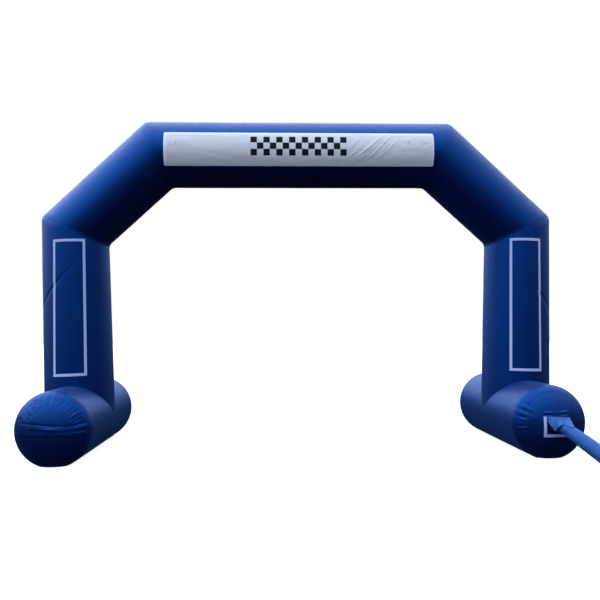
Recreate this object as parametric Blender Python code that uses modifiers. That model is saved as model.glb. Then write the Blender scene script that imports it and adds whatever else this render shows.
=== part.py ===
"""Inflatable start arch, in metres, +Z up. It faces -Y and rests on z = 0.

Five straight air tubes meet in mitred seams. Each leg stands on a foot tube that lies front to
back, and a gathered dome closes each end of a foot tube. A banner lies on the crossbar, a frame of
tape is sewn to each leg, and an inlet sleeve runs from the right foot down to the ground.

Everything is placed in the arch's own frame, where Y = 0 is the plane of the arch, and hangs on
one empty that sets this plane back by ARCH_Y. Angles on an upright tube are measured round its
axis from the front, positive towards +X. "Inward" is towards the middle of the span.
"""

import math
import random
from collections import namedtuple

import bmesh
import bpy
from mathutils import Vector

# Whole arch
ARCH_Y = 0.5448         # plane of the arch behind the middle of the bounding box
CROSSBAR_Z = 4.027
SHOULDER_X = 1.938      # where the axes of the crossbar and a diagonal meet
KNEE_X, KNEE_Z = 3.075, 2.963
LEG_BASE_X, LEG_BASE_Z = 3.000, 0.450
FOOT_X, FOOT_Z = 3.003, 0.430
TUBE_RADIUS = 0.447     # crossbar and shoulders
KNEE_RADIUS = 0.436
LEG_BASE_RADIUS = 0.4535
SIDES = 56              # facets round every tube

# Foot tubes and their domes
FOOT_RADIUS = 0.460
FOOT_HALF = 1.300
DOME_DEPTH = 0.2415
SEAM_TURN = 36.0        # degrees round the dome's quarter ellipse to the ring seam
FOOT_TURNS = (0.0, 14.0, 24.0, 31.0)
CAP_TURNS = (41.0, 48.0, 58.0, 70.0)
GATHER_REACH = 13.0     # degrees from the seam at which the gathers have faded
GATHER_HEIGHT = 0.007
SEAM_DRAW = 0.005       # how far the ring seam is drawn in

# Seams, creases and clearances
GAP = 0.0003
SEAM_STEPS = ((0.12, 0.0), (0.04, 0.3), (0.0, 1.0))   # distance from a mitre, share of SEAM_DEPTH
SEAM_DEPTH = 0.005
CREASE_DEPTH = 0.010
CREASE_STEPS = ((-0.09, 0.0), (-0.03, 0.4), (0.0, 1.0), (0.03, 0.4), (0.09, 0.0))

Side = namedtuple("Side", "name sign")
SIDES_OF_ARCH = (Side("left", -1), Side("right", 1))

# A slanted crease round each leg: its height is middle + rise * sin(inward angle + CREASE_TURN),
# and it fades out over half_width degrees on each side of its centre.
Crease = namedtuple("Crease", "middle rise centre half_width")
CREASES = {
    "left": Crease(middle=2.27, rise=0.45, centre=-18, half_width=52),
    "right": Crease(middle=2.125, rise=0.42, centre=-34, half_width=40),
}
CREASE_TURN = 15
CREASE_TOP = 2.53       # the crease runs level above this height, clear of the knee's seam

# Tape, 35 mm wide. The frame's edges are inward angles of the strips' middles, top and bottom.
TAPE_WIDTH = 0.035
TAPE_THICKNESS = 0.0015
TAPE_SEAT = 0.0009
FRAME_TOP, FRAME_BOTTOM = 2.785, 1.030
FrameEdge = namedtuple("FrameEdge", "top bottom")
FRAME_EDGES = {
    "left": {"outer": FrameEdge(-22.0, -26.3), "inner": FrameEdge(28.7, 26.0)},
    "right": {"outer": FrameEdge(-21.6, -24.3), "inner": FrameEdge(29.6, 27.9)},
}

# Banner, by its height angle on the crossbar: 0 faces straight ahead, positive is up.
BANNER_X = (-1.814, 1.803)
BANNER_ANGLES = (-32.5, 26.5)
BANNER_COLUMNS, BANNER_ROWS = 44, 9
BANNER_THICKNESS = 0.002
BANNER_SEAT = 0.0012
Ripple = namedtuple("Ripple", "x angle slope half_length half_width height")
BANNER_RIPPLES = (
    Ripple(x=-1.66, angle=2, slope=70, half_length=0.20, half_width=0.05, height=0.006),
    Ripple(x=-1.46, angle=-4, slope=35, half_length=0.18, half_width=0.05, height=0.005),
    Ripple(x=-1.05, angle=-12, slope=-14, half_length=0.40, half_width=0.05, height=0.005),
    Ripple(x=0.74, angle=2, slope=36, half_length=0.20, half_width=0.05, height=0.007),
    Ripple(x=0.98, angle=-4, slope=34, half_length=0.26, half_width=0.05, height=0.008),
    Ripple(x=1.20, angle=-12, slope=38, half_length=0.22, half_width=0.05, height=0.007),
    Ripple(x=1.26, angle=10, slope=60, half_length=0.14, half_width=0.05, height=0.006),
    Ripple(x=1.66, angle=6, slope=-50, half_length=0.14, half_width=0.05, height=0.006),
)

# Inlet on the right foot's front dome
SLEEVE_RADIUS = 0.081
SLEEVE_SIDES = 20
SLEEVE_RINGS = 26
SLEEVE_HEM = 0.035      # width of the hem at the mouth
SLEEVE_HEM_LIFT = 0.002
SleeveStop = namedtuple("SleeveStop", "x y z radius")    # it swells on its way down
SLEEVE_ROUTE = (
    SleeveStop(3.012, -1.230, 0.411, 0.066),
    SleeveStop(3.022, -1.290, 0.410, 0.066),
    SleeveStop(3.048, -1.430, 0.401, 0.067),
    SleeveStop(3.080, -1.500, 0.377, 0.074),
    SleeveStop(3.143, -1.600, 0.314, 0.083),
    SleeveStop(3.236, -1.745, 0.219, 0.089),
    SleeveStop(3.300, -1.865, 0.147, 0.090),
    SleeveStop(3.345, -1.975, 0.100, 0.087),
    SleeveStop(3.375, -2.090, 0.082, 0.083),
    SleeveStop(3.396, -2.220, 0.0785, 0.081),
    SleeveStop(3.405, -2.350, 0.0785, 0.081),
)
INLET_X = (2.8575, 3.182)
INLET_BOTTOM = 0.281
INLET_TOPS = (0.527, 0.512)     # of the left and the right strip, which ends under the flap
FLAP_THICKNESS = 0.002
FlapColumn = namedtuple("FlapColumn", "top middle bottom")   # each (x, y, z)
FLAP_COLUMNS = (
    FlapColumn((2.898, None, 0.528), (2.903, -1.315, 0.461), (2.913, -1.335, 0.440)),
    FlapColumn((2.944, None, 0.528), (2.928, -1.338, 0.459), (2.928, -1.366, 0.405)),
    FlapColumn((2.989, None, 0.526), (2.950, -1.368, 0.452), (2.940, -1.396, 0.372)),
    FlapColumn((3.035, None, 0.523), (2.981, -1.396, 0.485), (2.955, -1.462, 0.426)),
    FlapColumn((3.082, None, 0.521), (3.036, -1.384, 0.493), (3.010, -1.474, 0.467)),
    FlapColumn((3.129, None, 0.519), (3.075, -1.424, 0.496), (3.044, -1.543, 0.447)),
    FlapColumn((3.172, None, 0.516), (3.134, -1.420, 0.490), (3.109, -1.555, 0.438)),
)

# Welted strip across the left front dome, as heights at its outer and inner end
STRIP_REACH = 0.366     # from the foot's axis to each end
STRIP_TOP = (0.522, 0.468)
STRIP_MIDDLE = (0.452, 0.424)
STRIP_BOTTOM = (0.384, 0.368)
STRIP_COLUMNS = 14
STRIP_THICKNESS = 0.0025
STRIP_SEAT = 0.0015
STRIP_WELT = 0.005      # how far the top edge stands proud

FRONT = Vector((0, -1, 0))
UP = Vector((0, 0, 1))

Tube = namedtuple("Tube", "start end radius_start radius_end")
Cut = namedtuple("Cut", "corner normal")   # a mitre plane, its normal towards the tube's own side


# Scene and materials

def clear_scene():
    for obj in list(bpy.data.objects):
        bpy.data.objects.remove(obj, do_unlink=True)


def new_collection(name):
    collection = bpy.data.collections.new(name)
    bpy.context.scene.collection.children.link(collection)
    return collection


def new_material(name, colour, roughness):
    material = bpy.data.materials.new(name)
    material.use_nodes = True
    shader = material.node_tree.nodes["Principled BSDF"]
    shader.inputs["Base Color"].default_value = (*colour, 1)
    shader.inputs["Roughness"].default_value = roughness
    shader.inputs["Metallic"].default_value = 0
    material.diffuse_color = (*colour, 1)
    return material


clear_scene()
arch = new_collection("inflatable_arch")
cutters = new_collection("cutters")
BLUE = new_material("blue_air_cloth", (0.012, 0.050, 0.230), 0.45)
CAP_BLUE = new_material("blue_cap_cloth", (0.010, 0.045, 0.200), 0.45)
SLEEVE_BLUE = new_material("light_blue_sleeve", (0.040, 0.130, 0.480), 0.50)
BANNER_GREY = new_material("banner_cloth", (0.480, 0.540, 0.680), 0.55)
TAPE_GREY = new_material("pale_tape", (0.300, 0.320, 0.540), 0.70)

plane_of_arch = bpy.data.objects.new("plane_of_arch", None)
plane_of_arch.location = (0, ARCH_Y, 0)
arch.objects.link(plane_of_arch)


# Mesh makers

def add_object(name, mesh, material, collection=arch):
    """Makes the bmesh an object with smooth sides that hangs on the arch's empty."""
    data = bpy.data.meshes.new(name)
    mesh.to_mesh(data)
    mesh.free()
    data.shade_smooth()
    data.set_sharp_from_angle(angle=math.radians(35))
    data.materials.append(material)
    obj = bpy.data.objects.new(name, data)
    obj.parent = plane_of_arch
    collection.objects.link(obj)
    return obj


def loft(name, rings, material, collection=arch):
    """A closed solid through rings of equal length; a last ring of one point makes a pole."""
    mesh = bmesh.new()
    loops = [[mesh.verts.new(point) for point in ring] for ring in rings]
    for near, far in zip(loops, loops[1:]):
        for i in range(len(near)):
            j = (i + 1) % len(near)
            ahead = (far[0],) if len(far) == 1 else (far[j], far[i])
            mesh.faces.new((near[i], near[j], *ahead))
    mesh.faces.new(reversed(loops[0]))
    if len(loops[-1]) > 1:
        mesh.faces.new(loops[-1])
    bmesh.ops.recalc_face_normals(mesh, faces=mesh.faces)
    return add_object(name, mesh, material, collection)


def sheet(name, rows, thickness, material):
    """A cloth through a grid of points, thickened away from the side that lies on the tube."""
    mesh = bmesh.new()
    grid = [[mesh.verts.new(point) for point in row] for row in rows]
    for low, high in zip(grid, grid[1:]):
        for i in range(len(low) - 1):
            mesh.faces.new((low[i], low[i + 1], high[i + 1], high[i]))
    obj = add_object(name, mesh, material)
    solid = obj.modifiers.new("Thickness", "SOLIDIFY")
    solid.thickness = thickness
    solid.offset = 1
    return obj


def cut_with(obj, cutter):
    """Cuts one object out of another with an exact Boolean, and hides the cutter."""
    boolean = obj.modifiers.new("Seat", "BOOLEAN")
    boolean.operation = "DIFFERENCE"
    boolean.solver = "EXACT"
    boolean.object = cutter
    cutter.hide_render = True
    cutter.display_type = "WIRE"


def between(pair, share):
    return pair[0] + (pair[1] - pair[0]) * share


def stepped(table, value):
    """Straight-line interpolation in a table of (position, value) rows."""
    for (left, low), (right, high) in zip(table, table[1:]):
        if value <= right:
            share = min(max((value - left) / (right - left), 0), 1)
            return low + (high - low) * share
    return table[-1][1]


# Mitred air tubes

def axis_of(tube):
    return (tube.end - tube.start).normalized()


def spoke(tube, angle):
    """The unit vector from the tube's axis at this angle from its front."""
    sideways = axis_of(tube).cross(FRONT)
    return FRONT * math.cos(angle) + sideways * math.sin(angle)


def tube_point(tube, angle, distance, radius):
    return tube.start + axis_of(tube) * distance + spoke(tube, angle) * radius


def straight_radius(tube, distance):
    length = (tube.end - tube.start).length
    return between((tube.radius_start, tube.radius_end), distance / length)


def mitre(corner, own_end, other_end):
    to_own = (own_end - corner).normalized()
    to_other = (other_end - corner).normalized()
    return Cut(corner, (to_own - to_other).normalized())


def meets(tube, angle, radius, cut):
    """How far along the tube its side meets the mitre plane, set back by half the gap."""
    on_side = tube.start + spoke(tube, angle) * radius
    return (GAP / 2 - (on_side - cut.corner).dot(cut.normal)) / axis_of(tube).dot(cut.normal)


def seam_profile(tube, angle, cut, radius, into_tube):
    """(distance, radius) rows where the tube draws in to a mitre, the mitre last."""
    edge = radius - SEAM_DEPTH
    at_mitre = meets(tube, angle, edge, cut)
    rows = []
    for away, share in SEAM_STEPS:
        distance = at_mitre + into_tube * away
        rows.append((distance, radius - SEAM_DEPTH * share))
    return rows


def tube_rings(tube, profile_of):
    angles = [math.tau * i / SIDES for i in range(SIDES)]
    profiles = [profile_of(angle) for angle in angles]
    return [
        [tube_point(tube, angle, *profile[k]) for angle, profile in zip(angles, profiles)]
        for k in range(len(profiles[0]))
    ]


def knee(side):
    return Vector((side.sign * KNEE_X, 0, KNEE_Z))


def shoulder(side):
    return Vector((side.sign * SHOULDER_X, 0, CROSSBAR_Z))


def leg_base(side):
    return Vector((side.sign * LEG_BASE_X, 0, LEG_BASE_Z))


def leg_tube(side):
    return Tube(leg_base(side), knee(side), LEG_BASE_RADIUS, KNEE_RADIUS)


def inward(side, angle):
    """The angle round a leg, turned so that positive points at the middle of the span."""
    return -side.sign * angle


def crease_share(side, angle):
    """How deep the leg's crease is at this angle, from 0 to 1."""
    crease = CREASES[side.name]
    turned = math.degrees(inward(side, angle))
    turned = (turned + 180) % 360 - 180
    offset = min(abs(turned - crease.centre) / crease.half_width, 1)
    return math.cos(offset * math.pi / 2) ** 2


def crease_distance(side, angle):
    """How far up the leg its crease lies at this angle."""
    crease = CREASES[side.name]
    turn = math.radians(CREASE_TURN)
    height = crease.middle + crease.rise * math.sin(inward(side, angle) + turn)
    return (min(height, CREASE_TOP) - LEG_BASE_Z) / axis_of(leg_tube(side)).z


def leg_profile(side, angle):
    tube = leg_tube(side)
    middle = crease_distance(side, angle)
    depth = CREASE_DEPTH * crease_share(side, angle)
    rows = [(0, LEG_BASE_RADIUS)]
    for offset, share in CREASE_STEPS:
        distance = middle + offset
        rows.append((distance, straight_radius(tube, distance) - depth * share))
    cut = mitre(knee(side), leg_base(side), shoulder(side))
    return rows + seam_profile(tube, angle, cut, KNEE_RADIUS, -1)


def diagonal_profile(side, tube, angle):
    low_cut = mitre(knee(side), shoulder(side), leg_base(side))
    other = Side("other", -side.sign)
    high_cut = mitre(shoulder(side), knee(side), shoulder(other))
    low = seam_profile(tube, angle, low_cut, KNEE_RADIUS, 1)
    return low[::-1] + seam_profile(tube, angle, high_cut, TUBE_RADIUS, -1)


def crossbar_profile(tube, angle):
    left, right = SIDES_OF_ARCH
    left_cut = mitre(shoulder(left), shoulder(right), knee(left))
    right_cut = mitre(shoulder(right), shoulder(left), knee(right))
    low = seam_profile(tube, angle, left_cut, TUBE_RADIUS, 1)
    return low[::-1] + seam_profile(tube, angle, right_cut, TUBE_RADIUS, -1)


def make_crossbar():
    left, right = SIDES_OF_ARCH
    tube = Tube(shoulder(left), shoulder(right), TUBE_RADIUS, TUBE_RADIUS)
    rings = tube_rings(tube, lambda angle: crossbar_profile(tube, angle))
    loft("crossbar", rings, BLUE)


def make_diagonal(side):
    tube = Tube(knee(side), shoulder(side), KNEE_RADIUS, TUBE_RADIUS)
    rings = tube_rings(tube, lambda angle: diagonal_profile(side, tube, angle))
    loft(f"diagonal_{side.name}", rings, BLUE)


# Foot tubes and domes

def gathers(seed):
    """One height for each facet of a ring seam: ridges and valleys of uneven depth, -1 to 1."""
    draw = random.Random(seed)
    heights = []
    for i in range(SIDES):
        size = 0.3 + 0.7 * draw.random()
        heights.append(size if i % 2 else -size)
    return heights


def gather_share(turn):
    """How strong the gathers are at this turn round the dome, 1 at the ring seam."""
    return max(1 - abs(turn - SEAM_TURN) / GATHER_REACH, 0)


def dome_point(side, end, angle, turn, lift):
    """A point on a foot's end: angle round its axis from the top, turn from side to tip."""
    turn = math.radians(turn)
    radial, axial = FOOT_RADIUS * math.cos(turn), DOME_DEPTH * math.sin(turn)
    normal = Vector((math.cos(turn) / FOOT_RADIUS, math.sin(turn) / DOME_DEPTH)).normalized()
    radius = radial + normal.x * lift
    reach = FOOT_HALF - DOME_DEPTH + axial + normal.y * lift
    height = FOOT_Z + radius * math.cos(angle)
    return Vector((side.sign * FOOT_X + radius * math.sin(angle), end * reach, max(height, 0)))


def dome_ring(side, end, turn, heights, grow=0.0):
    share = gather_share(turn)
    ring = []
    for i, height in enumerate(heights):
        lift = (GATHER_HEIGHT * height - SEAM_DRAW) * share + grow
        ring.append(dome_point(side, end, math.tau * i / SIDES, turn, lift))
    return ring


def seam_ring(side, end, heights, step):
    """The ring seam, flat, moved along the foot by step so that foot and dome stand a gap apart."""
    seam_y = dome_point(side, end, 0, SEAM_TURN, 0).y + step
    return [Vector((point.x, seam_y, point.z)) for point in dome_ring(side, end, SEAM_TURN, heights)]


def seam_seed(side, end):
    return 10 + side.sign * 2 + end


def make_foot(side):
    front, back = gathers(seam_seed(side, -1)), gathers(seam_seed(side, 1))
    rings = [seam_ring(side, -1, front, GAP / 2)]
    rings += [dome_ring(side, -1, turn, front) for turn in reversed(FOOT_TURNS)]
    rings += [dome_ring(side, 1, turn, back) for turn in FOOT_TURNS]
    rings += [seam_ring(side, 1, back, -GAP / 2)]
    loft(f"foot_{side.name}", rings, BLUE)


def make_leg_cutter(side):
    """The foot's straight part, a gap larger, for cutting the leg's saddle."""
    plain = [0.0] * SIDES
    rings = [dome_ring(side, end, 0, plain, GAP) for end in (-1, 1)]
    return loft(f"saddle_cutter_{side.name}", rings, BLUE, cutters)


def make_leg(side):
    tube = leg_tube(side)
    rings = tube_rings(tube, lambda angle: leg_profile(side, angle))
    leg = loft(f"leg_{side.name}", rings, BLUE)
    cut_with(leg, make_leg_cutter(side))


def cap_rings(side, end, grow=0.0):
    heights = gathers(seam_seed(side, end))
    rings = [seam_ring(side, end, heights, end * GAP / 2)]
    rings += [dome_ring(side, end, turn, heights, grow) for turn in CAP_TURNS]
    return rings + [[dome_point(side, end, 0, 90, grow)]]


def make_cap(side, end, place):
    loft(f"cap_{side.name}_{place}", cap_rings(side, end), CAP_BLUE)


# Tape frames

def leg_surface(side, angle, height, lift):
    """A point on the leg's skin, creases included, at this angle and height."""
    tube = leg_tube(side)
    distance = (height - LEG_BASE_Z) / axis_of(tube).z
    radius = stepped(leg_profile(side, angle), distance)
    return tube_point(tube, angle, distance, radius + lift)


def tape_angles(side, edge, height):
    """The two edges of an upright strip at this height, as angles round the leg."""
    share = (FRAME_TOP - height) / (FRAME_TOP - FRAME_BOTTOM)
    middle = -side.sign * math.radians(between(FRAME_EDGES[side.name][edge], share))
    half = TAPE_WIDTH / 2 / LEG_BASE_RADIUS
    return middle - half, middle + half


def make_upright_tape(side, edge):
    low, high = FRAME_BOTTOM + TAPE_WIDTH / 2 + GAP, FRAME_TOP - TAPE_WIDTH / 2 - GAP
    columns = []
    for index in (0, 1):
        def angle_at(height):
            return tape_angles(side, edge, height)[index]

        rise = axis_of(leg_tube(side)).z
        folded = crease_distance(side, angle_at((low + high) / 2)) * rise + LEG_BASE_Z
        heights = [low] + [folded + offset for offset, _ in CREASE_STEPS] + [high]
        columns.append([leg_surface(side, angle_at(z), z, TAPE_SEAT) for z in heights])
    rows = [list(row) for row in zip(*columns)]
    sheet(f"tape_{side.name}_{edge}", rows, TAPE_THICKNESS, TAPE_GREY)


def make_level_tape(side, place, height, steps=12):
    ends = [angle for edge in ("outer", "inner") for angle in tape_angles(side, edge, height)]
    angles = [between((min(ends), max(ends)), i / steps) for i in range(steps + 1)]
    rows = []
    for z in (height - TAPE_WIDTH / 2, height + TAPE_WIDTH / 2):
        rows.append([leg_surface(side, angle, z, TAPE_SEAT) for angle in angles])
    sheet(f"tape_{side.name}_{place}", rows, TAPE_THICKNESS, TAPE_GREY)


def make_tape_frame(side):
    make_upright_tape(side, "outer")
    make_upright_tape(side, "inner")
    make_level_tape(side, "top", FRAME_TOP)
    make_level_tape(side, "bottom", FRAME_BOTTOM)


# Banner

def banner_ripple(x, angle):
    """How far the banner's ripples stand off the crossbar here."""
    total = 0
    for ripple in BANNER_RIPPLES:
        across = x - ripple.x
        upward = TUBE_RADIUS * math.radians(angle - ripple.angle)
        slope = math.radians(ripple.slope)
        along = (across * math.cos(slope) + upward * math.sin(slope)) / ripple.half_length
        beside = (upward * math.cos(slope) - across * math.sin(slope)) / ripple.half_width
        total += ripple.height * math.exp(-along * along - beside * beside)
    return total


def make_banner():
    rows = []
    for j in range(BANNER_ROWS + 1):
        angle = between(BANNER_ANGLES, j / BANNER_ROWS)
        row = []
        for i in range(BANNER_COLUMNS + 1):
            x = between(BANNER_X, i / BANNER_COLUMNS)
            radius = TUBE_RADIUS + BANNER_SEAT + banner_ripple(x, angle)
            turn = math.radians(angle)
            row.append((x, -radius * math.cos(turn), CROSSBAR_Z + radius * math.sin(turn)))
        rows.append(row)
    sheet("banner", rows, BANNER_THICKNESS, BANNER_GREY)


# Inlet and the strip on the domes

def dome_front(side, x, z, lift):
    """The point of a front dome's skin straight behind (x, z)."""
    across = math.hypot(x - side.sign * FOOT_X, z - FOOT_Z) / FOOT_RADIUS
    bulge = DOME_DEPTH * math.sqrt(1 - across * across)
    return Vector((x, -(FOOT_HALF - DOME_DEPTH + bulge + lift), z))


def make_inlet_tape(place, lower_left, upper_right, steps):
    """A strip of tape on the right front dome that fills a rectangle of x and z."""
    right = SIDES_OF_ARCH[1]
    wide = upper_right[0] - lower_left[0] > upper_right[1] - lower_left[1]
    columns, levels = (steps, 1) if wide else (1, steps)
    rows = []
    for j in range(levels + 1):
        z = between((lower_left[1], upper_right[1]), j / levels)
        xs = [between((lower_left[0], upper_right[0]), i / columns) for i in range(columns + 1)]
        rows.append([dome_front(right, x, z, TAPE_SEAT) for x in xs])
    sheet(f"inlet_tape_{place}", rows, TAPE_THICKNESS, TAPE_GREY)


def make_inlet_tapes():
    (left, right), (left_top, right_top) = INLET_X, INLET_TOPS
    above = INLET_BOTTOM + TAPE_WIDTH + GAP
    make_inlet_tape("left", (left, above), (left + TAPE_WIDTH, left_top), 4)
    make_inlet_tape("bottom", (left, INLET_BOTTOM), (right, INLET_BOTTOM + TAPE_WIDTH), 6)
    make_inlet_tape("right", (right - TAPE_WIDTH, above), (right, right_top), 4)


def make_flap():
    """The flap, sewn along its top and thrown over the root of the sleeve."""
    right = SIDES_OF_ARCH[1]
    tops = []
    for column in FLAP_COLUMNS:
        x, _, z = column.top
        tops.append(dome_front(right, x, z, TAPE_SEAT))
    middles = [Vector(column.middle) for column in FLAP_COLUMNS]
    bottoms = [Vector(column.bottom) for column in FLAP_COLUMNS]
    sheet("inlet_flap", [bottoms, middles, tops], FLAP_THICKNESS, SLEEVE_BLUE)


def route_point(stops, share):
    """The value on the smooth curve through the stops (Catmull-Rom), by its share of the stops."""
    last = len(stops) - 1
    k = min(int(share * last), last - 1)
    t = share * last - k
    before, here, there, after = (stops[min(max(k + i, 0), last)] for i in (-1, 0, 1, 2))
    slope_here, slope_there = (there - before) / 2, (after - here) / 2
    return (
        here * (2 * t**3 - 3 * t**2 + 1)
        + slope_here * (t**3 - 2 * t**2 + t)
        + there * (3 * t**2 - 2 * t**3)
        + slope_there * (t**3 - t**2)
    )


def sleeve_ring(centre, direction, radius):
    sideways = direction.cross(UP).normalized()
    upward = sideways.cross(direction)
    ring = []
    for i in range(SLEEVE_SIDES):
        angle = math.tau * i / SLEEVE_SIDES
        point = centre + (upward * math.cos(angle) + sideways * math.sin(angle)) * radius
        ring.append(Vector((point.x, point.y, max(point.z, 0))))
    return ring


def make_sleeve():
    stops = [Vector(stop[:3]) for stop in SLEEVE_ROUTE]
    widths = [stop.radius for stop in SLEEVE_ROUTE]
    centres = [route_point(stops, i / SLEEVE_RINGS) for i in range(SLEEVE_RINGS + 1)]
    rings = []
    for i, centre in enumerate(centres):
        ahead, behind = centres[min(i + 1, SLEEVE_RINGS)], centres[max(i - 1, 0)]
        radius = route_point(widths, i / SLEEVE_RINGS)
        rings.append(sleeve_ring(centre, (ahead - behind).normalized(), radius))
    mouth = centres[-1]
    direction = (mouth - centres[-2]).normalized()
    hem_radius = SLEEVE_RADIUS + SLEEVE_HEM_LIFT
    rings.append(sleeve_ring(mouth + direction * SLEEVE_HEM_LIFT, direction, hem_radius))
    rings.append(sleeve_ring(mouth + direction * SLEEVE_HEM, direction, hem_radius))
    sleeve = loft("inlet_sleeve", rings, SLEEVE_BLUE)
    right = SIDES_OF_ARCH[1]
    cutter = loft("dome_cutter", cap_rings(right, -1, GAP), CAP_BLUE, cutters)
    cut_with(sleeve, cutter)


def over_gathers(side, x, z):
    """How far a cloth here has to stand off a dome to lie on the crests of its gathers."""
    across = math.hypot(x - side.sign * FOOT_X, z - FOOT_Z) / FOOT_RADIUS
    return GATHER_HEIGHT * gather_share(math.degrees(math.acos(across)))


def make_vent_strip():
    """The welted strip across the left front dome, following its bulge."""
    left = SIDES_OF_ARCH[0]
    centre = left.sign * FOOT_X
    rows = []
    for heights, proud in ((STRIP_BOTTOM, 0), (STRIP_MIDDLE, 0), (STRIP_TOP, STRIP_WELT)):
        row = []
        for i in range(STRIP_COLUMNS + 1):
            x = centre + between((-STRIP_REACH, STRIP_REACH), i / STRIP_COLUMNS)
            z = between(heights, i / STRIP_COLUMNS)
            lift = STRIP_SEAT + proud + over_gathers(left, x, z)
            row.append(dome_front(left, x, z, lift))
        rows.append(row)
    sheet("vent_strip", rows, STRIP_THICKNESS, CAP_BLUE)


def main():
    for side in SIDES_OF_ARCH:
        make_foot(side)
        make_leg(side)
        make_diagonal(side)
        make_cap(side, -1, "front")
        make_cap(side, 1, "back")
        make_tape_frame(side)
    make_crossbar()
    make_banner()
    make_vent_strip()
    make_inlet_tapes()
    make_flap()
    make_sleeve()


main()
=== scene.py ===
"""Looks of the inflatable start arch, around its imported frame. Metres, +Z up, front towards -Y.

Each air tube, dome and cloth is a fine mesh on the sizes of its solid, with the gathers, creases,
hems and stitches that the solid leaves out, and every finish is procedural. Angles on a tube are
measured round its axis from the front, and "inward" is towards the middle of the span.
"""

import math
import random
from collections import namedtuple
from functools import partial

import bpy
import numpy as np
from mathutils import Matrix


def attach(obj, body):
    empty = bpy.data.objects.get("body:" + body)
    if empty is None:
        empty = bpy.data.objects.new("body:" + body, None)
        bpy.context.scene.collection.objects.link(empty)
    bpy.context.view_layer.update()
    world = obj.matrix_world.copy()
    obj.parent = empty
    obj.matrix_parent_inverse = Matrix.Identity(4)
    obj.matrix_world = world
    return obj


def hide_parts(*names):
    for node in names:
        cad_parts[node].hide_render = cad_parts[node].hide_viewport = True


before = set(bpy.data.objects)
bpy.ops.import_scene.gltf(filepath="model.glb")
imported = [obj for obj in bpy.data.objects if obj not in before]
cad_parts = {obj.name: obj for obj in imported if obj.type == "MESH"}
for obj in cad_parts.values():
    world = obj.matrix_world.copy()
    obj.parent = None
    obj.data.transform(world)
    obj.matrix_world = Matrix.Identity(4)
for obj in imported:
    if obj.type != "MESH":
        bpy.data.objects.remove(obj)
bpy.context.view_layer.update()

# Sizes of the arch, as its solids have them
ARCH_Y = 0.5448
CROSSBAR_Z = 4.027
SHOULDER_X = 1.938
KNEE_X, KNEE_Z = 3.075, 2.963
LEG_BASE_X, LEG_BASE_Z = 3.000, 0.450
FOOT_X, FOOT_Z = 3.003, 0.430
TUBE_RADIUS = 0.447
KNEE_RADIUS = 0.436
LEG_BASE_RADIUS = 0.4535
FOOT_RADIUS = 0.460
FOOT_HALF = 1.300
DOME_DEPTH = 0.2415
STRAIGHT_HALF = FOOT_HALF - DOME_DEPTH
SEAM_TURN = 36.0        # degrees round a dome's quarter ellipse to the ring seam
SEAM_REACH = STRAIGHT_HALF + DOME_DEPTH * math.sin(math.radians(SEAM_TURN))
GAP = 0.0003
GATHER_HEIGHT = 0.007
SOLID_SIDES = 56        # facets of the solids, which set where the gathers are
CREASE_DEPTH = 0.010
CREASE_TURN = 15
CREASE_TOP = 2.53
Crease = namedtuple("Crease", "middle rise centre half_width")
CREASES = {     # the left one reaches further round the leg than the solid's
    "left": Crease(middle=2.27, rise=0.45, centre=-45, half_width=75),
    "right": Crease(middle=2.125, rise=0.42, centre=-34, half_width=40),
}
TAPE_WIDTH = 0.035
TAPE_THICKNESS = 0.0015
TAPE_SEAT = 0.0009
FRAME_TOP, FRAME_BOTTOM = 2.785, 1.030
FRAME_EDGES = {     # inward angles of its uprights, at their top and bottom
    "left": {"outer": (-22.0, -26.3), "inner": (28.7, 26.0)},
    "right": {"outer": (-21.6, -24.3), "inner": (29.6, 27.9)},
}
BANNER_X = (-1.814, 1.803)
BANNER_ANGLES = (-32.5, 26.5)
BANNER_THICKNESS = 0.002
BANNER_SEAT = 0.0012
SLEEVE_RADIUS = 0.081
SLEEVE_HEM = 0.035
SLEEVE_HEM_LIFT = 0.002
SLEEVE_ROUTE = (     # x, y, z, radius
    (3.012, -1.230, 0.411, 0.066),
    (3.022, -1.290, 0.410, 0.066),
    (3.048, -1.430, 0.401, 0.067),
    (3.080, -1.500, 0.377, 0.074),
    (3.143, -1.600, 0.314, 0.083),
    (3.236, -1.745, 0.219, 0.089),
    (3.300, -1.865, 0.147, 0.090),
    (3.345, -1.975, 0.100, 0.087),
    (3.375, -2.090, 0.082, 0.083),
    (3.396, -2.220, 0.0785, 0.081),
    (3.405, -2.350, 0.0785, 0.081),
)
INLET_X = (2.8575, 3.182)
INLET_BOTTOM = 0.281
INLET_TOPS = (0.527, 0.512)
FLAP_THICKNESS = 0.002
FLAP_SEAT = 0.003       # between the sleeve and the part of the flap that is pressed on it
FLAP_COLUMNS = (     # x and z on the dome at the top, then the middle and the bottom
    ((2.898, 0.528), (2.903, -1.315, 0.461), (2.913, -1.335, 0.440)),
    ((2.944, 0.528), (2.928, -1.338, 0.459), (2.928, -1.366, 0.405)),
    ((2.989, 0.526), (2.950, -1.368, 0.452), (2.940, -1.396, 0.372)),
    ((3.035, 0.523), (2.981, -1.396, 0.485), (2.955, -1.462, 0.426)),
    ((3.082, 0.521), (3.036, -1.384, 0.493), (3.010, -1.474, 0.467)),
    ((3.129, 0.519), (3.075, -1.424, 0.496), (3.044, -1.543, 0.447)),
    ((3.172, 0.516), (3.134, -1.420, 0.490), (3.109, -1.555, 0.438)),
)
STRIP_REACH = 0.366
STRIP_TOP = (0.522, 0.468)
STRIP_BOTTOM = (0.384, 0.368)
STRIP_THICKNESS = 0.0025
STRIP_SEAT = 0.0015

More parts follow.
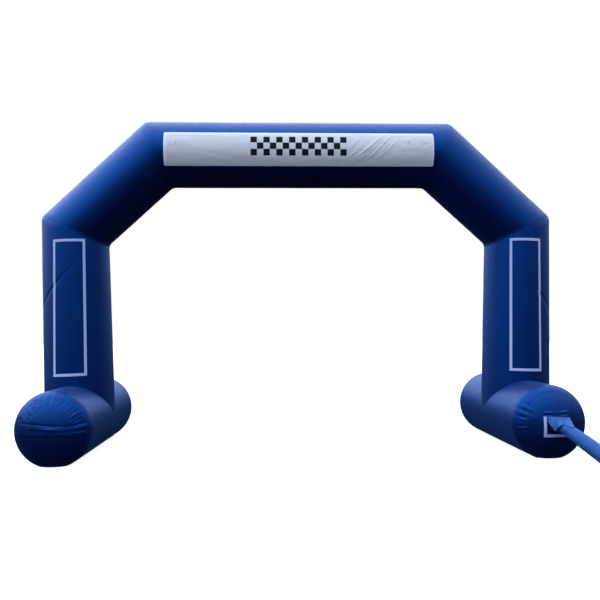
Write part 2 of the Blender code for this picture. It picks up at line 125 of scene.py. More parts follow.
# Fineness of the meshes
SIDES = 192
CROSSBAR_ROWS, DIAGONAL_ROWS, LEG_ROWS = 180, 110, 200
SHARP_ANGLE = math.radians(32)
FOOT_ROWS, DOME_ROWS, CAP_ROWS = 72, 36, 66
LEG_CLOSING = (0.93, 0.8, 0.6, 0.35, 0.15)      # widths of the rings that close a leg's base
TAPE_ROW, TAPE_COLUMNS = 0.006, np.array((0, 0.06, 0.2, 0.4, 0.6, 0.8, 0.94, 1))

# Seams of the air tubes
SEAM_WIDTH, SEAM_DEPTH = 0.013, 0.0008  # the narrow groove at a seam
BEND_REACH, WIDE_BEND = 0.042, 0.100    # how far from a seam its bend is rounded over
WIDE_BEND_AT, WIDE_BEND_SPREAD = -0.5, 0.3  # sine of the inward angle, where it is widest
PUCKER_COUNT = 58
PUCKER_HEIGHT = 0.0016
PUCKER_REACH = 0.055
INNER_PUCKER = 2.2      # how much stronger puckers are inside a bend
GATHER_REACH = {        # on both sides of a ring seam
    "left": {"foot": 0.060, "cap": 0.088},
    "right": {"foot": 0.086, "cap": 0.046},
}
SEAM_DRAW, SEAM_DRAW_REACH = 0.0020, 0.026   # how far a ring seam is drawn in
TOP_WRINKLE_AT, TOP_WRINKLE_SPREAD = -28, 42    # degrees from the top, and how far they spread
TOP_WRINKLE_DEPTH, TOP_WRINKLE_REACH = 0.0062, 0.12
TOP_WRINKLE_CELLS, TOP_WRINKLE_LENGTH, TOP_WRINKLE_SLANT = 54, 0.07, 0.05
GATHER_SIDE = 69        # degrees from the top to where the gathers are deepest, towards the gateway
GATHER_SPREAD = 46
GATHER_FAINT, GATHER_STRONG = 0.34, 1.35
GATHER_SHARE = 0.45     # of the solid's own gathers, the rest being narrower ones
GATHER_FINE, FINE_HEIGHT = 41, 0.0085
GATHER_FADE = 1.8       # power of the fall-off at a gather's end
CAP_RIM, CAP_RIM_START = 0.17, 0.02     # how far a dome's rim marks reach, and begin
PANEL_SEAMS = (121, -121)   # lengthwise seams of a tube, in degrees from the front
PANEL_DEPTH, PANEL_WIDTH = 0.0022, 0.012
PANEL_RIPPLE, PANEL_RIPPLE_LENGTH, PANEL_RIPPLE_REACH = 0.0012, 0.036, 0.045
CREASE_WIDTHS = ((0.75, 0.013), (0.25, 0.040))  # shares of a crease's depth, and their reach
SHOULDER_SEED, KNEE_SEED, SADDLE_SEED = 31, 41, 51  # the left seams'; the right ones' are next

# Slow waves on round skins: cells round a ring, metres along it to a cell, height
Waves = namedtuple("Waves", "around length height")
BODY_WAVES = Waves(11, 0.33, 0.0010)
CAP_WAVES, CAP_RAYS = Waves(9, 0.09, 0.0016), Waves(40, 0.16, 0.0012)
SLEEVE_WAVES, SLEEVE_RINGS = Waves(7, 0.07, 0.0020), Waves(5, 0.022, 0.0016)
SLEEVE_TWIST = 3 / 7 * math.tau     # radians that the sleeve's waves turn in a metre
SLEEVE_BENDS = ((0.20, 0.12), (1.02, 0.16))     # where along the sleeve it has rings, and reach

# The inlet's opening, and the folds of the dome's cloth above its flap
POCKET_DEPTH, POCKET_TOP = 0.050, 0.500
POCKET_INSET, POCKET_EDGE = TAPE_WIDTH + 0.004, 0.012   # inside the tapes, and its rounding
FOLD_WIDTH, FURROW_WIDTH, FURROW_BELOW = 0.012, 0.011, 0.024
Fold = namedtuple("Fold", "x z slope half_length height")
INLET_FOLDS = (
    Fold(x=2.917, z=0.572, slope=-0.06, half_length=0.046, height=0.011),
    Fold(x=3.108, z=0.577, slope=0.08, half_length=0.055, height=0.012),
)

# Tape, banner, strip and stitches
TAPE_CROWN = 0.0007
TAPE_TUCK, TAPE_TUCK_PITCH = 0.0005, 0.021
TAPE_STITCH_INSET = 0.0035
TAPE_STITCH_LIFT = TAPE_SEAT + TAPE_THICKNESS + TAPE_CROWN * 0.4
STITCH_PITCH, STITCH_LENGTH, THREAD_RADIUS = 0.0080, 0.0062, 0.0006
BANNER_ROWS, BANNER_COLUMNS = 64, 420
BANNER_CORNER = 0.022
BANNER_HEM, BANNER_HEM_LIFT = 0.040, 0.0010
BANNER_LOW_HEM = 0.018
BANNER_STITCHES = (0.006, BANNER_HEM - 0.005)   # how far its two lines lie inside the edge
BANNER_STITCH_LIFT = 0.003
BANNER_SLACK = 0.0012   # height of its small waves
SLACK_CELL, CRIMP_CELL = (0.13, 0.05), (0.045, 0.3)     # size of those inside, and at its edge
BANNER_EDGE = 0.03      # over which the crimps give way to the slack
BANNER_STEP = 0.006     # over which a hem's edge rises
BANNER_RIPPLES = (   # x, angle, slope, half length, half width, height
    # two faint arcs at the left end
    (-1.735, 10, 78, 0.060, 0.010, 0.0038), (-1.735, -12, -72, 0.070, 0.010, 0.0038),
    (-1.675, 12, 66, 0.050, 0.010, 0.0032), (-1.690, -14, -60, 0.060, 0.010, 0.0032),
    (-1.20, -15, -12, 0.22, 0.016, 0.0020),
    # slanted streaks in the right third
    (0.700, -12, 48, 0.060, 0.008, 0.0033), (0.735, 8, 43, 0.080, 0.008, 0.0030),
    (0.825, 5, 40, 0.110, 0.008, 0.0039), (0.935, 2, 40, 0.130, 0.008, 0.0039),
    (0.930, -16, 42, 0.060, 0.008, 0.0033), (1.030, -4, 46, 0.090, 0.008, 0.0036),
    (1.135, -2, 47, 0.080, 0.008, 0.0033), (1.050, 16, 50, 0.050, 0.008, 0.0030),
    (0.690, 2, 44, 0.060, 0.012, 0.0030), (0.775, -4, 37, 0.150, 0.013, 0.0041),
    (0.880, -4, 37, 0.150, 0.012, 0.0041), (0.850, -16, 32, 0.070, 0.011, 0.0032),
    (0.985, -12, 45, 0.075, 0.012, 0.0038), (1.090, -13, 42, 0.080, 0.012, 0.0041),
    (1.170, 14, 46, 0.070, 0.011, 0.0027), (1.240, 4, 52, 0.060, 0.012, 0.0030),
    (1.400, 0, 84, 0.060, 0.012, 0.0024), (1.560, -4, 86, 0.070, 0.012, 0.0022),
    (1.010, 11, 44, 0.090, 0.009, 0.0030), (1.120, 7, 48, 0.080, 0.009, 0.0032),
    (1.215, 2, 50, 0.080, 0.009, 0.0028),
    # broad waves of slack cloth
    (0.930, -2, 36, 0.26, 0.060, 0.0050), (-0.95, -8, -10, 0.45, 0.060, 0.0030),
)
BANNER_PINCHES = (   # x, angle
    (1.087, 14), (1.145, 8), (1.455, 10), (1.636, 11),
    (1.676, 7), (1.690, -3), (1.740, 1), (-1.652, 7),
)
PINCH_RADIUS, PINCH_DEPTH = 0.0120, 0.0060
PAINTED_HOLLOW_CORE, PINCH_SHADE = 0.003, 0.30   # painted shade in a pinch's hollow: darkest within this radius, where this share of the cloth still shows
CHEQUER_X = (-0.664, 0.620)
CHEQUER_ROWS, CHEQUER_COLUMNS = 3, 15
CHEQUER_ANGLE = -14.5   # of its lower edge
INK = (0.006, 0.007, 0.009, 1)
# colour of the painted shade in the banner's pinches
PAINTED_HOLLOW_COLOUR = (0.05, 0.06, 0.08, 1)
STRIP_ROWS, STRIP_COLUMNS = 40, 150
STRIP_LIFT, STRIP_WRINKLE = 0.0010, 0.0012
STRIP_MARKS = ((STRIP_TOP, 0.012, 0.0030), (STRIP_BOTTOM, -0.010, 0.0015))  # line, rise, depth
STRIP_MARK_WIDTH = 0.010
Rib = namedtuple("Rib", "rise half_width height at swell")
STRIP_RIBS = (
    Rib(rise=0.74, half_width=0.13, height=0.0013, at=0.53, swell=4.5),
    Rib(rise=0.26, half_width=0.17, height=0.0011, at=0.84, swell=2.4),
)
RIB_SWELL_REACH = 0.16
STRIP_FADES = (0.12, 0.30)  # shares of its length over which its ribs fade at its two ends
SLEEVE_ROWS, SLEEVE_SIDES = 260, 64
SLEEVE_SEAM = math.radians(100)     # the sleeve's long seam, from its top
SLEEVE_SEAM_DEPTH, SLEEVE_SEAM_WIDTH = 0.0022, 0.004
SLEEVE_HEM_STEP = 0.004
SLEEVE_ROOT = 0.05      # over which its waves begin
SLEEVE_MOUTH_DEPTH = 0.060
MOUTH_RINGS = (     # how far inside its radius, and behind its end, the mouth's rings are
    (0.0016, -0.0012), (0.0032, 0.002), (0.004, 0.020), (0.005, SLEEVE_MOUTH_DEPTH),
    (0.4 * SLEEVE_RADIUS, SLEEVE_MOUTH_DEPTH), (0.75 * SLEEVE_RADIUS, SLEEVE_MOUTH_DEPTH),
)
MOUTH_FLOOR = 0.0015    # thickness of cloth under the mouth
SLEEVE_DRAW = 0.0020    # how far its skin lies inside the solid's, so that waves stay near it
FLAP_ROWS, FLAP_COLUMNS_FINE = 48, 72
FLAP_LIFT, FLAP_WRINKLE, FLAP_HEM_LIFT = 0.0030, 0.0035, 0.0012     # of its free part
FLAP_OUTWARD = (0.1, -1.0, 0.45)    # the way that this part lifts
FLAP_FREE, FLAP_HEM, FLAP_HEM_STEP = 0.3, 0.10, 0.03    # shares of its height
FLAP_PRESSED = 0.45     # share of its height, from the hem, that is pressed to the sleeve
FLAP_LOOSE, FLAP_PRESS_STEP = 0.52, 0.2     # share of its width that isn't, and the step
FLAP_OVER = 0.6         # share of the sleeve's route that can lie under it

# Finishes of the cloths, by slot
THREAD_GAP_PAINTED_SHADE = 0.72     # painted shade between a cloth's threads, as a share of its colour
BROAD_NOISE = {"Scale": 1.7, "Detail": 4, "Roughness": 0.6}
FINE_NOISE = {"Scale": 11.0, "Detail": 5, "Roughness": 0.65}
SHEEN_ROUGHNESS = 0.55
BANNER_HEM_COLOUR = (0.80, 0.84, 0.96)
# CAP_TINT is a less blue gloss for the domes, which paints a paler reflection on them
BLUE_TINT, CAP_TINT, PALE_TINT = (0.01, 0.24, 1.0), (0.028, 0.265, 1.0), (0.8, 0.9, 1.0)
BLUE, SKY_BLUE = (0.02, 0.27, 1.0), (0.08, 0.34, 1.0)     # sheens
Finish = namedtuple("Finish", "colour pitch roughness ior gloss_tint sheen sheen_tint mottle")
AIR_FINISH = Finish((0.0009, 0.0022, 0.047), 0.0009, 0.42, 2.20, BLUE_TINT, 0.13, SKY_BLUE, 0.10)
TAPE_FINISH = Finish((0.44, 0.51, 0.80), 0.0014, 0.6, 1.45, PALE_TINT, 0.1, PALE_TINT, 0.04)
FINISHES = {
    "air_cloth": AIR_FINISH,
    # the domes' cloth is the tubes' cloth made darker, which is painted shade, with a paler gloss
    # tint, a painted reflection
    "cap_cloth": AIR_FINISH._replace(colour=(0.0008, 0.0017, 0.042), gloss_tint=CAP_TINT),
    "sleeve_cloth": Finish((0.030, 0.088, 0.262), 0.0007, 0.5, 1.7, BLUE_TINT, 0.12, BLUE, 0.08),
    "banner_cloth": Finish((0.74, 0.745, 0.78), 0.0012, 0.6, 1.2, PALE_TINT, 0.02, PALE_TINT, 0.03),
    "pale_tape": TAPE_FINISH,
    "thread": TAPE_FINISH._replace(pitch=0.0005),
}

# Stage and light
STAGE_RADIUS = 60.0
FLOOR_Z, FLOOR_GLOW, FLOOR_DIFFUSE = -0.0005, 0.88, 0.35
RING_RADIUS, RING_HEIGHT, RING_DIFFUSE = 5.6, 1.1, 0.03
SKY_COLOUR, LOW_SKY_COLOUR = (0.77, 0.86, 1.02), (0.45, 0.70, 1.04)
LOW_SKY_TOP = 0.4       # sine of the height where the low sky's colour ends
SKY_STOPS = (   # sine of the height above the horizon, strength
    (-1.00, 0.02), (-0.05, 0.02), (0.05, 0.31), (0.18, 0.96),
    (0.32, 1.60), (0.50, 2.20), (0.72, 2.55), (1.00, 2.85),
)
SKY_SLANT = (-0.46, 0.21, 0.0)  # how much brighter it is to the left and behind the arch

# Camera: a 600 px square picture with a focal length of 640 px
CAMERA_PLACE = (-0.4086, -8.3382, 1.630)
CAMERA_LENS, CAMERA_SENSOR = 38.4, 36.0
CAMERA_YAW, CAMERA_PITCH, CAMERA_ROLL = 0.0458, 0.0419, -0.0082

PLANE = np.array((0.0, ARCH_Y, 0.0))    # the arch's own frame in the row frame
FRONT, UP = np.array((0.0, -1.0, 0.0)), np.array((0.0, 0.0, 1.0))
RING_ANGLES = np.arange(SIDES) / SIDES * math.tau

Tube = namedtuple("Tube", "start end radius_start radius_end")
Cut = namedtuple("Cut", "corner normal bend seed turn")  # bend is the tangent of half the turn
Side = namedtuple("Side", "name sign order knee shoulder leg_base")


def make_side(name, sign, order):
    corners = ((KNEE_X, KNEE_Z), (SHOULDER_X, CROSSBAR_Z), (LEG_BASE_X, LEG_BASE_Z))
    return Side(name, sign, order, *(np.array((sign * x, 0.0, z)) for x, z in corners))


LEFT, RIGHT = make_side("left", -1, 0), make_side("right", 1, 1)


# Small tools for numbers

def between(pair, share):
    return pair[0] + (pair[1] - pair[0]) * share


def bell(offset, width):
    """1 where the offset is 0, and 0.37 where it equals the width."""
    return np.exp(-((offset / width) ** 2))


def unit(vector):
    return vector / np.linalg.norm(vector, axis=-1, keepdims=True)


def stacked(*parts):
    """Points from their coordinates, which are broadcast together."""
    return np.stack(np.broadcast_arrays(*parts), -1)


def path_length(points):
    """Metres along a path of points, or up each column of a grid of them."""
    return np.linalg.norm(np.diff(points, axis=0), axis=-1).sum(0)


def wrapped(angles):
    """The same angles, from -pi to pi."""
    return (angles + math.pi) % math.tau - math.pi


def smooth_step(value):
    value = np.clip(value, 0, 1)
    return value * value * (3 - 2 * value)


def evenly(count):
    return np.linspace(0, 1, count + 1)


def crowded(count, crowd):
    """Shares from 0 to 1 that lie closer together towards both ends."""
    return evenly(count) - crowd * np.sin(math.tau * evenly(count)) / math.tau


def ring_noise(angles, count, seed):
    """Smooth random values from -1 to 1 round a ring."""
    knots = np.random.RandomState(seed).uniform(-1, 1, count)
    place = np.asarray(angles) / math.tau * count
    left = np.floor(place).astype(int)
    return between((knots[left % count], knots[(left + 1) % count]), smooth_step(place - left))


def cloth_noise(u, v, around, seed):
    """Smooth random values from -1 to 1 over a cloth. u repeats after `around` cells."""
    rows = 97
    knots = np.random.RandomState(seed).uniform(-1, 1, (around, rows))
    u, v = np.broadcast_arrays(u, v)
    left, low = np.floor(u).astype(int), np.floor(v).astype(int)
    up = smooth_step(v - low)
    near, far = (
        between((knots[k % around, low % rows], knots[k % around, (low + 1) % rows]), up)
        for k in (left, left + 1)
    )
    return between((near, far), smooth_step(u - left))


def slow_waves(waves, angles, along, seed):
    """The height of slow waves on a round skin."""
    cells = angles / math.tau * waves.around
    return waves.height * cloth_noise(cells, along / waves.length, waves.around, seed)


def folds(angles, count, seed, unevenness=0.4):
    """Cloth gathered round a ring: round crests of uneven width between narrow valleys.

    Gives each point's crest, from 0 in a valley up to 1, and its fold's own length, about 1.
    """
    draw = np.random.RandomState(seed)
    widths = 1 + unevenness * draw.uniform(-1, 1, count)
    edges = np.concatenate(([0], np.cumsum(widths))) / widths.sum() * math.tau
    heights, lengths = draw.uniform(0.3, 1, count), draw.uniform(0.55, 1.35, count)
    turned = np.mod(angles, math.tau)
    index = np.clip(np.searchsorted(edges, turned, side="right") - 1, 0, count - 1)
    share = (turned - edges[index]) / (edges[index + 1] - edges[index])
    crest = np.sin(math.pi * np.clip(share, 0, 1)) ** 0.7
    return crest * heights[index], lengths[index]


def route_points(stops, shares):
    """Points on the smooth curve through the stops (Catmull-Rom), by their share of the stops."""
    stops = np.array(stops, float)
    last = len(stops) - 1
    places = np.asarray(shares) * last
    k = np.minimum(places.astype(int), last - 1)
    t = (places - k)[:, None]
    before, here, there, after = (stops[np.clip(k + i, 0, last)] for i in (-1, 0, 1, 2))
    curve = here * (2 * t**3 - 3 * t**2 + 1) + there * (3 * t**2 - 2 * t**3)
    return curve + ((there - before) * (t**3 - 2 * t**2 + t) + (after - here) * (t**3 - t**2)) / 2


# Materials

def set_inputs(tree, made, inputs):
    """Links or sets inputs of a node, by name or number."""
    for key, value in inputs.items():
        if isinstance(value, bpy.types.NodeSocket):
            tree.links.new(value, made.inputs[key])
        else:
            made.inputs[key].default_value = value


def node(tree, kind, inputs=None, **settings):
    """Adds a shader node, and gives its outputs."""
    made = tree.nodes.new("ShaderNode" + kind)
    for key, value in settings.items():
        setattr(made, key, value)
    set_inputs(tree, made, inputs or {})
    return made.outputs


def math_node(tree, operation, *values):
    return node(tree, "Math", dict(enumerate(values)), operation=operation)[0]


def vector_node(tree, operation, first, second):
    return node(tree, "VectorMath", {0: first, 1: second}, operation=operation)


def fade(tree, value, low, high, to_low, to_high):
    """Maps value from low..high to to_low..to_high, and holds it at the ends."""
    inputs = {"Value": value, "From Min": low, "From Max": high}
    inputs |= {"To Min": to_low, "To Max": to_high}
    return node(tree, "MapRange", inputs)["Result"]


def mixed(tree, share, first, second):
    return node(tree, "Mix", {"Factor": share, 6: first, 7: second}, data_type="RGBA")[2]


def bumped(tree, height, strength, distance, **before):
    inputs = {"Height": height, "Strength": strength, "Distance": distance, **before}
    return node(tree, "Bump", inputs)["Normal"]


def weave(tree, uv, pitch):
    """Height of a plain weave whose threads lie this far apart along U and V."""
    split = node(tree, "SeparateXYZ", {0: uv})
    turns = [math_node(tree, "MULTIPLY", split[axis], math.pi / pitch) for axis in (0, 1)]
    return math_node(tree, "MULTIPLY", *(math_node(tree, "SINE", turn) for turn in turns))


def within_box(tree, uv, low, high):
    """1 inside a box on the cloth, by its low and high corners, else 0."""
    inside = []
    for value, start, end in zip(node(tree, "SeparateXYZ", {0: uv}), low, high):
        offset = math_node(tree, "SUBTRACT", value, (start + end) / 2)
        away = math_node(tree, "ABSOLUTE", offset)
        inside.append(math_node(tree, "LESS_THAN", away, (end - start) / 2))
    return math_node(tree, "MULTIPLY", *inside)


def new_material(name):
    material = bpy.data.materials.new(name)
    material.use_nodes = True
    return material, material.node_tree, material.node_tree.nodes["Principled BSDF"]


def banner_up(angle):
    """Metres up the banner's cloth at this angle round the crossbar."""
    return math.radians(angle - BANNER_ANGLES[0]) * TUBE_RADIUS


BANNER_WIDTH, BANNER_HEIGHT = BANNER_X[1] - BANNER_X[0], banner_up(BANNER_ANGLES[1])


def banner_print(tree, uv, base):
    """The banner's paler hem, painted shade in its pinches, and a plain black chequered block in
    place of its large word.
    """
    inner = (BANNER_WIDTH - BANNER_LOW_HEM, BANNER_HEIGHT - BANNER_HEM)
    field = within_box(tree, uv, (BANNER_HEM, BANNER_LOW_HEM), inner)
    base = mixed(tree, field, (*BANNER_HEM_COLOUR, 1), base)
    # painted shade in the hollow of each pinch, darkest at its middle
    for x, angle in BANNER_PINCHES:
        spot = (x - BANNER_X[0], banner_up(angle), 0)
        away = vector_node(tree, "DISTANCE", uv, spot)["Value"]
        shade = fade(tree, away, PAINTED_HOLLOW_CORE, PINCH_RADIUS, 1 - PINCH_SHADE, 0)
        base = mixed(tree, shade, base, PAINTED_HOLLOW_COLOUR)
    low = np.array((CHEQUER_X[0] - BANNER_X[0], banner_up(CHEQUER_ANGLE), 0))
    cell = (CHEQUER_X[1] - CHEQUER_X[0]) / CHEQUER_COLUMNS
    high = low + np.array((CHEQUER_COLUMNS, CHEQUER_ROWS, 0)) * cell
    corner = vector_node(tree, "SUBTRACT", uv, tuple(low))["Vector"]
    dark = math_node(tree, "GREATER_THAN", weave(tree, corner, cell), 0.0)
    inside = within_box(tree, uv, low[:2], high[:2])
    return mixed(tree, math_node(tree, "MULTIPLY", dark, inside), base, INK)


def cloth_material(name, finish):
    """Cloth with a weave, painted shade between its threads, a soft crumple, uneven gloss and a
    colour that wanders a little.
    """
    material, tree, shader = new_material(name)
    uv, place = node(tree, "UVMap", uv_map="metres")["UV"], node(tree, "TexCoord")["Object"]
    threads = weave(tree, uv, finish.pitch)
    noises = (BROAD_NOISE, FINE_NOISE)
    broad, fine = (node(tree, "TexNoise", {"Vector": place, **noise})["Fac"] for noise in noises)
    dark, light, groove = (
        (*(c * share for c in finish.colour), 1)
        for share in (1 - finish.mottle, 1 + finish.mottle, THREAD_GAP_PAINTED_SHADE)
    )
    base = mixed(tree, fade(tree, broad, 0.3, 0.7, 0, 1), dark, light)
    # painted shade in the weave's grooves
    base = mixed(tree, fade(tree, threads, -1.0, 0.4, 0.35, 0), base, groove)
    if name == "banner_cloth":
        base = banner_print(tree, uv, base)
    crumple = bumped(tree, fine, 0.5, 0.002)
    inputs = {
        "Base Color": base,
        "Roughness": fade(tree, fine, 0.3, 0.7, finish.roughness - 0.05, finish.roughness + 0.06),
        "Normal": bumped(tree, threads, 0.35, finish.pitch * 0.3, Normal=crumple),
        "IOR": finish.ior,
        "Specular Tint": (*finish.gloss_tint, 1),
        "Sheen Weight": finish.sheen,
        "Sheen Roughness": SHEEN_ROUGHNESS,
        "Sheen Tint": (*finish.sheen_tint, 1),
    }
    set_inputs(tree, shader, inputs)
    return material


CLOTHS = {name: cloth_material(name, finish) for name, finish in FINISHES.items()}


# Meshes

def new_object(name, points, faces, material, uvs):
    """A smooth mesh object; points are in the arch's own frame, uvs are in metres."""
    mesh = bpy.data.meshes.new(name)
    mesh.from_pydata((points + PLANE).tolist(), [], faces)
    layer = mesh.uv_layers.new(name="metres")
    corners = np.empty(len(mesh.loops), np.int32)
    mesh.loops.foreach_get("vertex_index", corners)
    layer.data.foreach_set("uv", np.asarray(uvs, np.float32)[corners].ravel())
    mesh.shade_smooth()
    mesh.set_sharp_from_angle(angle=SHARP_ANGLE)
    mesh.materials.append(CLOTHS[material])
    obj = bpy.data.objects.new(name, mesh)
    bpy.context.scene.collection.objects.link(obj)
    return obj


def show(obj, slot, *nodes):
    """Lets a piece ride on the part and stand for its nodes. The slot is not used."""
    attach(obj, "root")
    if nodes:
        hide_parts(*nodes)


def grid_faces(rows, columns, wrap):
    """The quads of a grid of points stored row by row; wrap joins its last column to its first."""
    low = np.arange(rows - 1)[:, None] * columns
    i = np.arange(columns if wrap else columns - 1)
    k = (i + 1) % columns
    return stacked(low + i, low + k, low + columns + k, low + columns + i).reshape(-1, 4).tolist()


def air_skin(name, rings, lengths, slot, start=(), end=()):
    """The closed skin of a node full of air, with further rings or a pole that close each end.

    rings is (rows, sides, 3), and lengths is how far along the cloth each ring's points lie.
    """
    rows, sides = rings.shape[:2]
    points = rings.reshape(-1, 3)
    radius = np.linalg.norm(rings[0] - rings[0].mean(0), axis=1).mean()
    around = np.arange(sides) / sides * math.tau * radius
    uvs = stacked(around, np.broadcast_to(lengths, (rows, sides))).reshape(-1, 2)
    faces = grid_faces(rows, sides, True)
    for closing, first, turn in ((start, 0, True), (end, (rows - 1) * sides, False)):
        edge = list(range(first, first + sides))
        for ring in closing:
            ring = np.reshape(ring, (-1, 3))
            inner = list(range(len(points), len(points) + len(ring)))
            points, uvs = np.concatenate((points, ring)), np.concatenate((uvs, ring[:, :2]))
            for i in range(sides):
                k = (i + 1) % sides
                last = inner if len(inner) == 1 else (inner[k], inner[i])
                face = (edge[i], edge[k], *last)
                faces.append(face[::-1] if turn else face)
            edge = inner
        if len(edge) > 1:
            faces.append(tuple(edge[::-1] if turn else edge))
    skin = new_object(f"{name}_skin", points, faces, slot, uvs)
    corners = points[np.array([face[:3] for face in faces[: (rows - 1) * sides]])]
    outward = np.cross(corners[:, 1] - corners[:, 0], corners[:, 2] - corners[:, 0])
    if (outward * (corners[:, 0] - points.mean(0))).sum() < 0:
        skin.data.flip_normals()
    show(skin, slot, name)


def cloth_sheet(name, grid, thickness, slot, uvs):
    """A node's thin cloth through a grid of points, thickened away from what it lies on."""
    faces = grid_faces(*grid.shape[:2], False)
    sheet = new_object(f"{name}_cloth", grid.reshape(-1, 3), faces, slot, uvs.reshape(-1, 2))
    solid = sheet.modifiers.new("Thickness", "SOLIDIFY")
    solid.thickness = thickness
    solid.offset = 1
    solid.use_rim = True
    show(sheet, slot, name)
    return sheet


# Stitches

STITCH_LINES = {}   # the starts, ends and normals of the stitches, by group of strips


def sew(group, place, length, across=0.0, lift=BANNER_STITCH_LIFT):
    """Notes a line of stitches; place(along, across, lift) gives points on its strip."""
    count = max(int(length / STITCH_PITCH), 2)
    middles = (np.arange(count) + 0.5) * length / count
    flat, half = np.full(count, across), STITCH_LENGTH / 2
    starts, ends = (place(middles + step, flat, np.full(count, lift)) for step in (-half, half))
    above = place(middles, flat, np.full(count, lift + 0.01))
    line = starts, ends, unit(above - (starts + ends) / 2)
    STITCH_LINES.setdefault(group, []).append(line)


def make_stitches():
    """One joined mesh of thread for each group: bodies with two rings of three points each."""
    pattern = []
    for i in range(3):
        k = (i + 1) % 3
        pattern += [(0, 1 + k, 1 + i), (1 + i, 1 + k, 4 + k)]
        pattern += [(1 + i, 4 + k, 4 + i), (7, 4 + i, 4 + k)]
    for group, lines in STITCH_LINES.items():
        starts, ends, normals = (np.concatenate(parts) for parts in zip(*lines))
        along = ends - starts
        sideways = unit(np.cross(along, normals))
        shapes = [starts]
        for share in (0.25, 0.75):
            for turn in np.radians((90, 210, 330)):
                out = sideways * math.cos(turn) + normals * math.sin(turn)
                shapes.append(starts + along * share + out * THREAD_RADIUS)
        points = np.stack((*shapes, ends), 1).reshape(-1, 3)
        faces = (np.arange(len(starts))[:, None, None] * 8 + np.array(pattern)).reshape(-1, 3)
        name, uvs = f"stitches_{group}", points[:, (0, 2)]
        show(new_object(name, points, faces.tolist(), "thread", uvs), "pale_tape")


# Air tubes

def axis_of(tube):
    return unit(tube.end - tube.start)


def spokes(tube, angles):
    """Unit vectors from the tube's axis at these angles from its front."""
    sideways = np.cross(axis_of(tube), FRONT)
    angles = np.asarray(angles)[..., None]
    return FRONT * np.cos(angles) + sideways * np.sin(angles)


def tube_points(tube, angles, distances, radii):
    along = axis_of(tube) * distances[..., None]
    return tube.start + along + spokes(tube, angles) * radii[..., None]


def mitre(place, own_end, other_end, seed, turn):
    """The plane of a seam between two tubes, its normal towards the tube's own side.

    A quarter turn round the tube, times turn, faces the inside of the bend.
    """
    own = unit(own_end - place)
    normal = unit(own - unit(other_end - place))
    return Cut(place, normal, math.tan(math.acos(own @ normal)), seed, turn)


def meets(tube, radius, cut, angles):
    """How far along the tube its skin meets the mitre plane, set back by half the gap."""
    radii = radius + pucker(angles, 0, cut)
    on_skin = tube.start + spokes(tube, angles) * radii[..., None]
    return (GAP / 2 - (on_skin - cut.corner) @ cut.normal) / (axis_of(tube) @ cut.normal)


def pucker(angles, away, cut):
    """How far the skin near a sewn seam stands off its tube.

    It has a groove with small gathers, and air rounds the bend over: the corner is taken off
    outside it and filled inside it.
    """
    inward = angles * cut.turn
    drift = 0.35 * ring_noise(inward, 9, cut.seed + 1) * away
    crest, length = folds(inward + drift, PUCKER_COUNT, cut.seed)
    inside = np.clip(np.sin(inward), 0, 1) ** 2
    height = PUCKER_HEIGHT * (1 + (INNER_PUCKER - 1) * inside)
    crest = crest * np.exp(-((away / (PUCKER_REACH * length)) ** 1.4))
    gathers = height * (crest - 0.5 * np.exp(-away / PUCKER_REACH))
    wide = bell(np.sin(inward) - WIDE_BEND_AT, WIDE_BEND_SPREAD)
    bend_reach = between((BEND_REACH, WIDE_BEND), wide)
    round_over = cut.bend * bend_reach / 2 * np.clip(1 - away / bend_reach, 0, 1) ** 2
    return gathers - SEAM_DEPTH * bell(away, SEAM_WIDTH) + round_over * np.sin(inward)


def body_wrinkles(angles, distances, seed):
    """The slow unevenness of a tube's skin and its two lengthwise seams."""
    offset = slow_waves(BODY_WAVES, angles, distances, seed)
    for degrees in PANEL_SEAMS:
        beside = np.abs(wrapped(angles - math.radians(degrees))) * TUBE_RADIUS
        place = distances / PANEL_RIPPLE_LENGTH
        ripple = PANEL_RIPPLE * cloth_noise(0 * angles, place, 1, seed + degrees + 200)
        offset = offset - PANEL_DEPTH * np.exp(-((beside / PANEL_WIDTH) ** 1.2))
        offset = offset + ripple * np.exp(-((beside / PANEL_RIPPLE_REACH) ** 1.5))
    return offset


def skin_radius(tube, angles, distances, ends, cuts, seed):
    """The radius of a tube's skin between its two seams, which lie at ends."""
    low, high = np.maximum(distances - ends[0], 0), np.maximum(ends[1] - distances, 0)
    radii = between((tube.radius_start, tube.radius_end), low / (low + high))
    radii = radii + pucker(angles, low, cuts[0]) + pucker(angles, high, cuts[1])
    middle = 1 - bell(np.minimum(low, high), 0.12)
    return radii + body_wrinkles(angles, distances, seed) * middle


def mitred_tube(name, tube, cuts, rows, seed):
    """An air tube between two mitred seams, at its start and its end."""
    radii = (tube.radius_start, tube.radius_end)
    ends = [meets(tube, radius, cut, RING_ANGLES) for cut, radius in zip(cuts, radii)]
    distances = between(ends, crowded(rows, 0.8)[:, None])
    radii = skin_radius(tube, RING_ANGLES, distances, ends, cuts, seed)
    air_skin(name, tube_points(tube, RING_ANGLES, distances, radii), distances, "air_cloth")


def make_crossbar():
    tube = Tube(LEFT.shoulder, RIGHT.shoulder, TUBE_RADIUS, TUBE_RADIUS)
    cuts = [
        mitre(side.shoulder, other.shoulder, side.knee, SHOULDER_SEED + side.order, 1)
        for side, other in ((LEFT, RIGHT), (RIGHT, LEFT))
    ]
    mitred_tube("crossbar", tube, cuts, CROSSBAR_ROWS, 101)


def make_diagonal(side):
    tube = Tube(side.knee, side.shoulder, KNEE_RADIUS, TUBE_RADIUS)
    other = RIGHT if side is LEFT else LEFT
    cuts = [
        mitre(side.knee, side.shoulder, side.leg_base, KNEE_SEED + side.order, -side.sign),
        mitre(side.shoulder, side.knee, other.shoulder, SHOULDER_SEED + side.order, -side.sign),
    ]
    mitred_tube(f"diagonal_{side.name}", tube, cuts, DIAGONAL_ROWS, 103 + side.sign)


# Legs

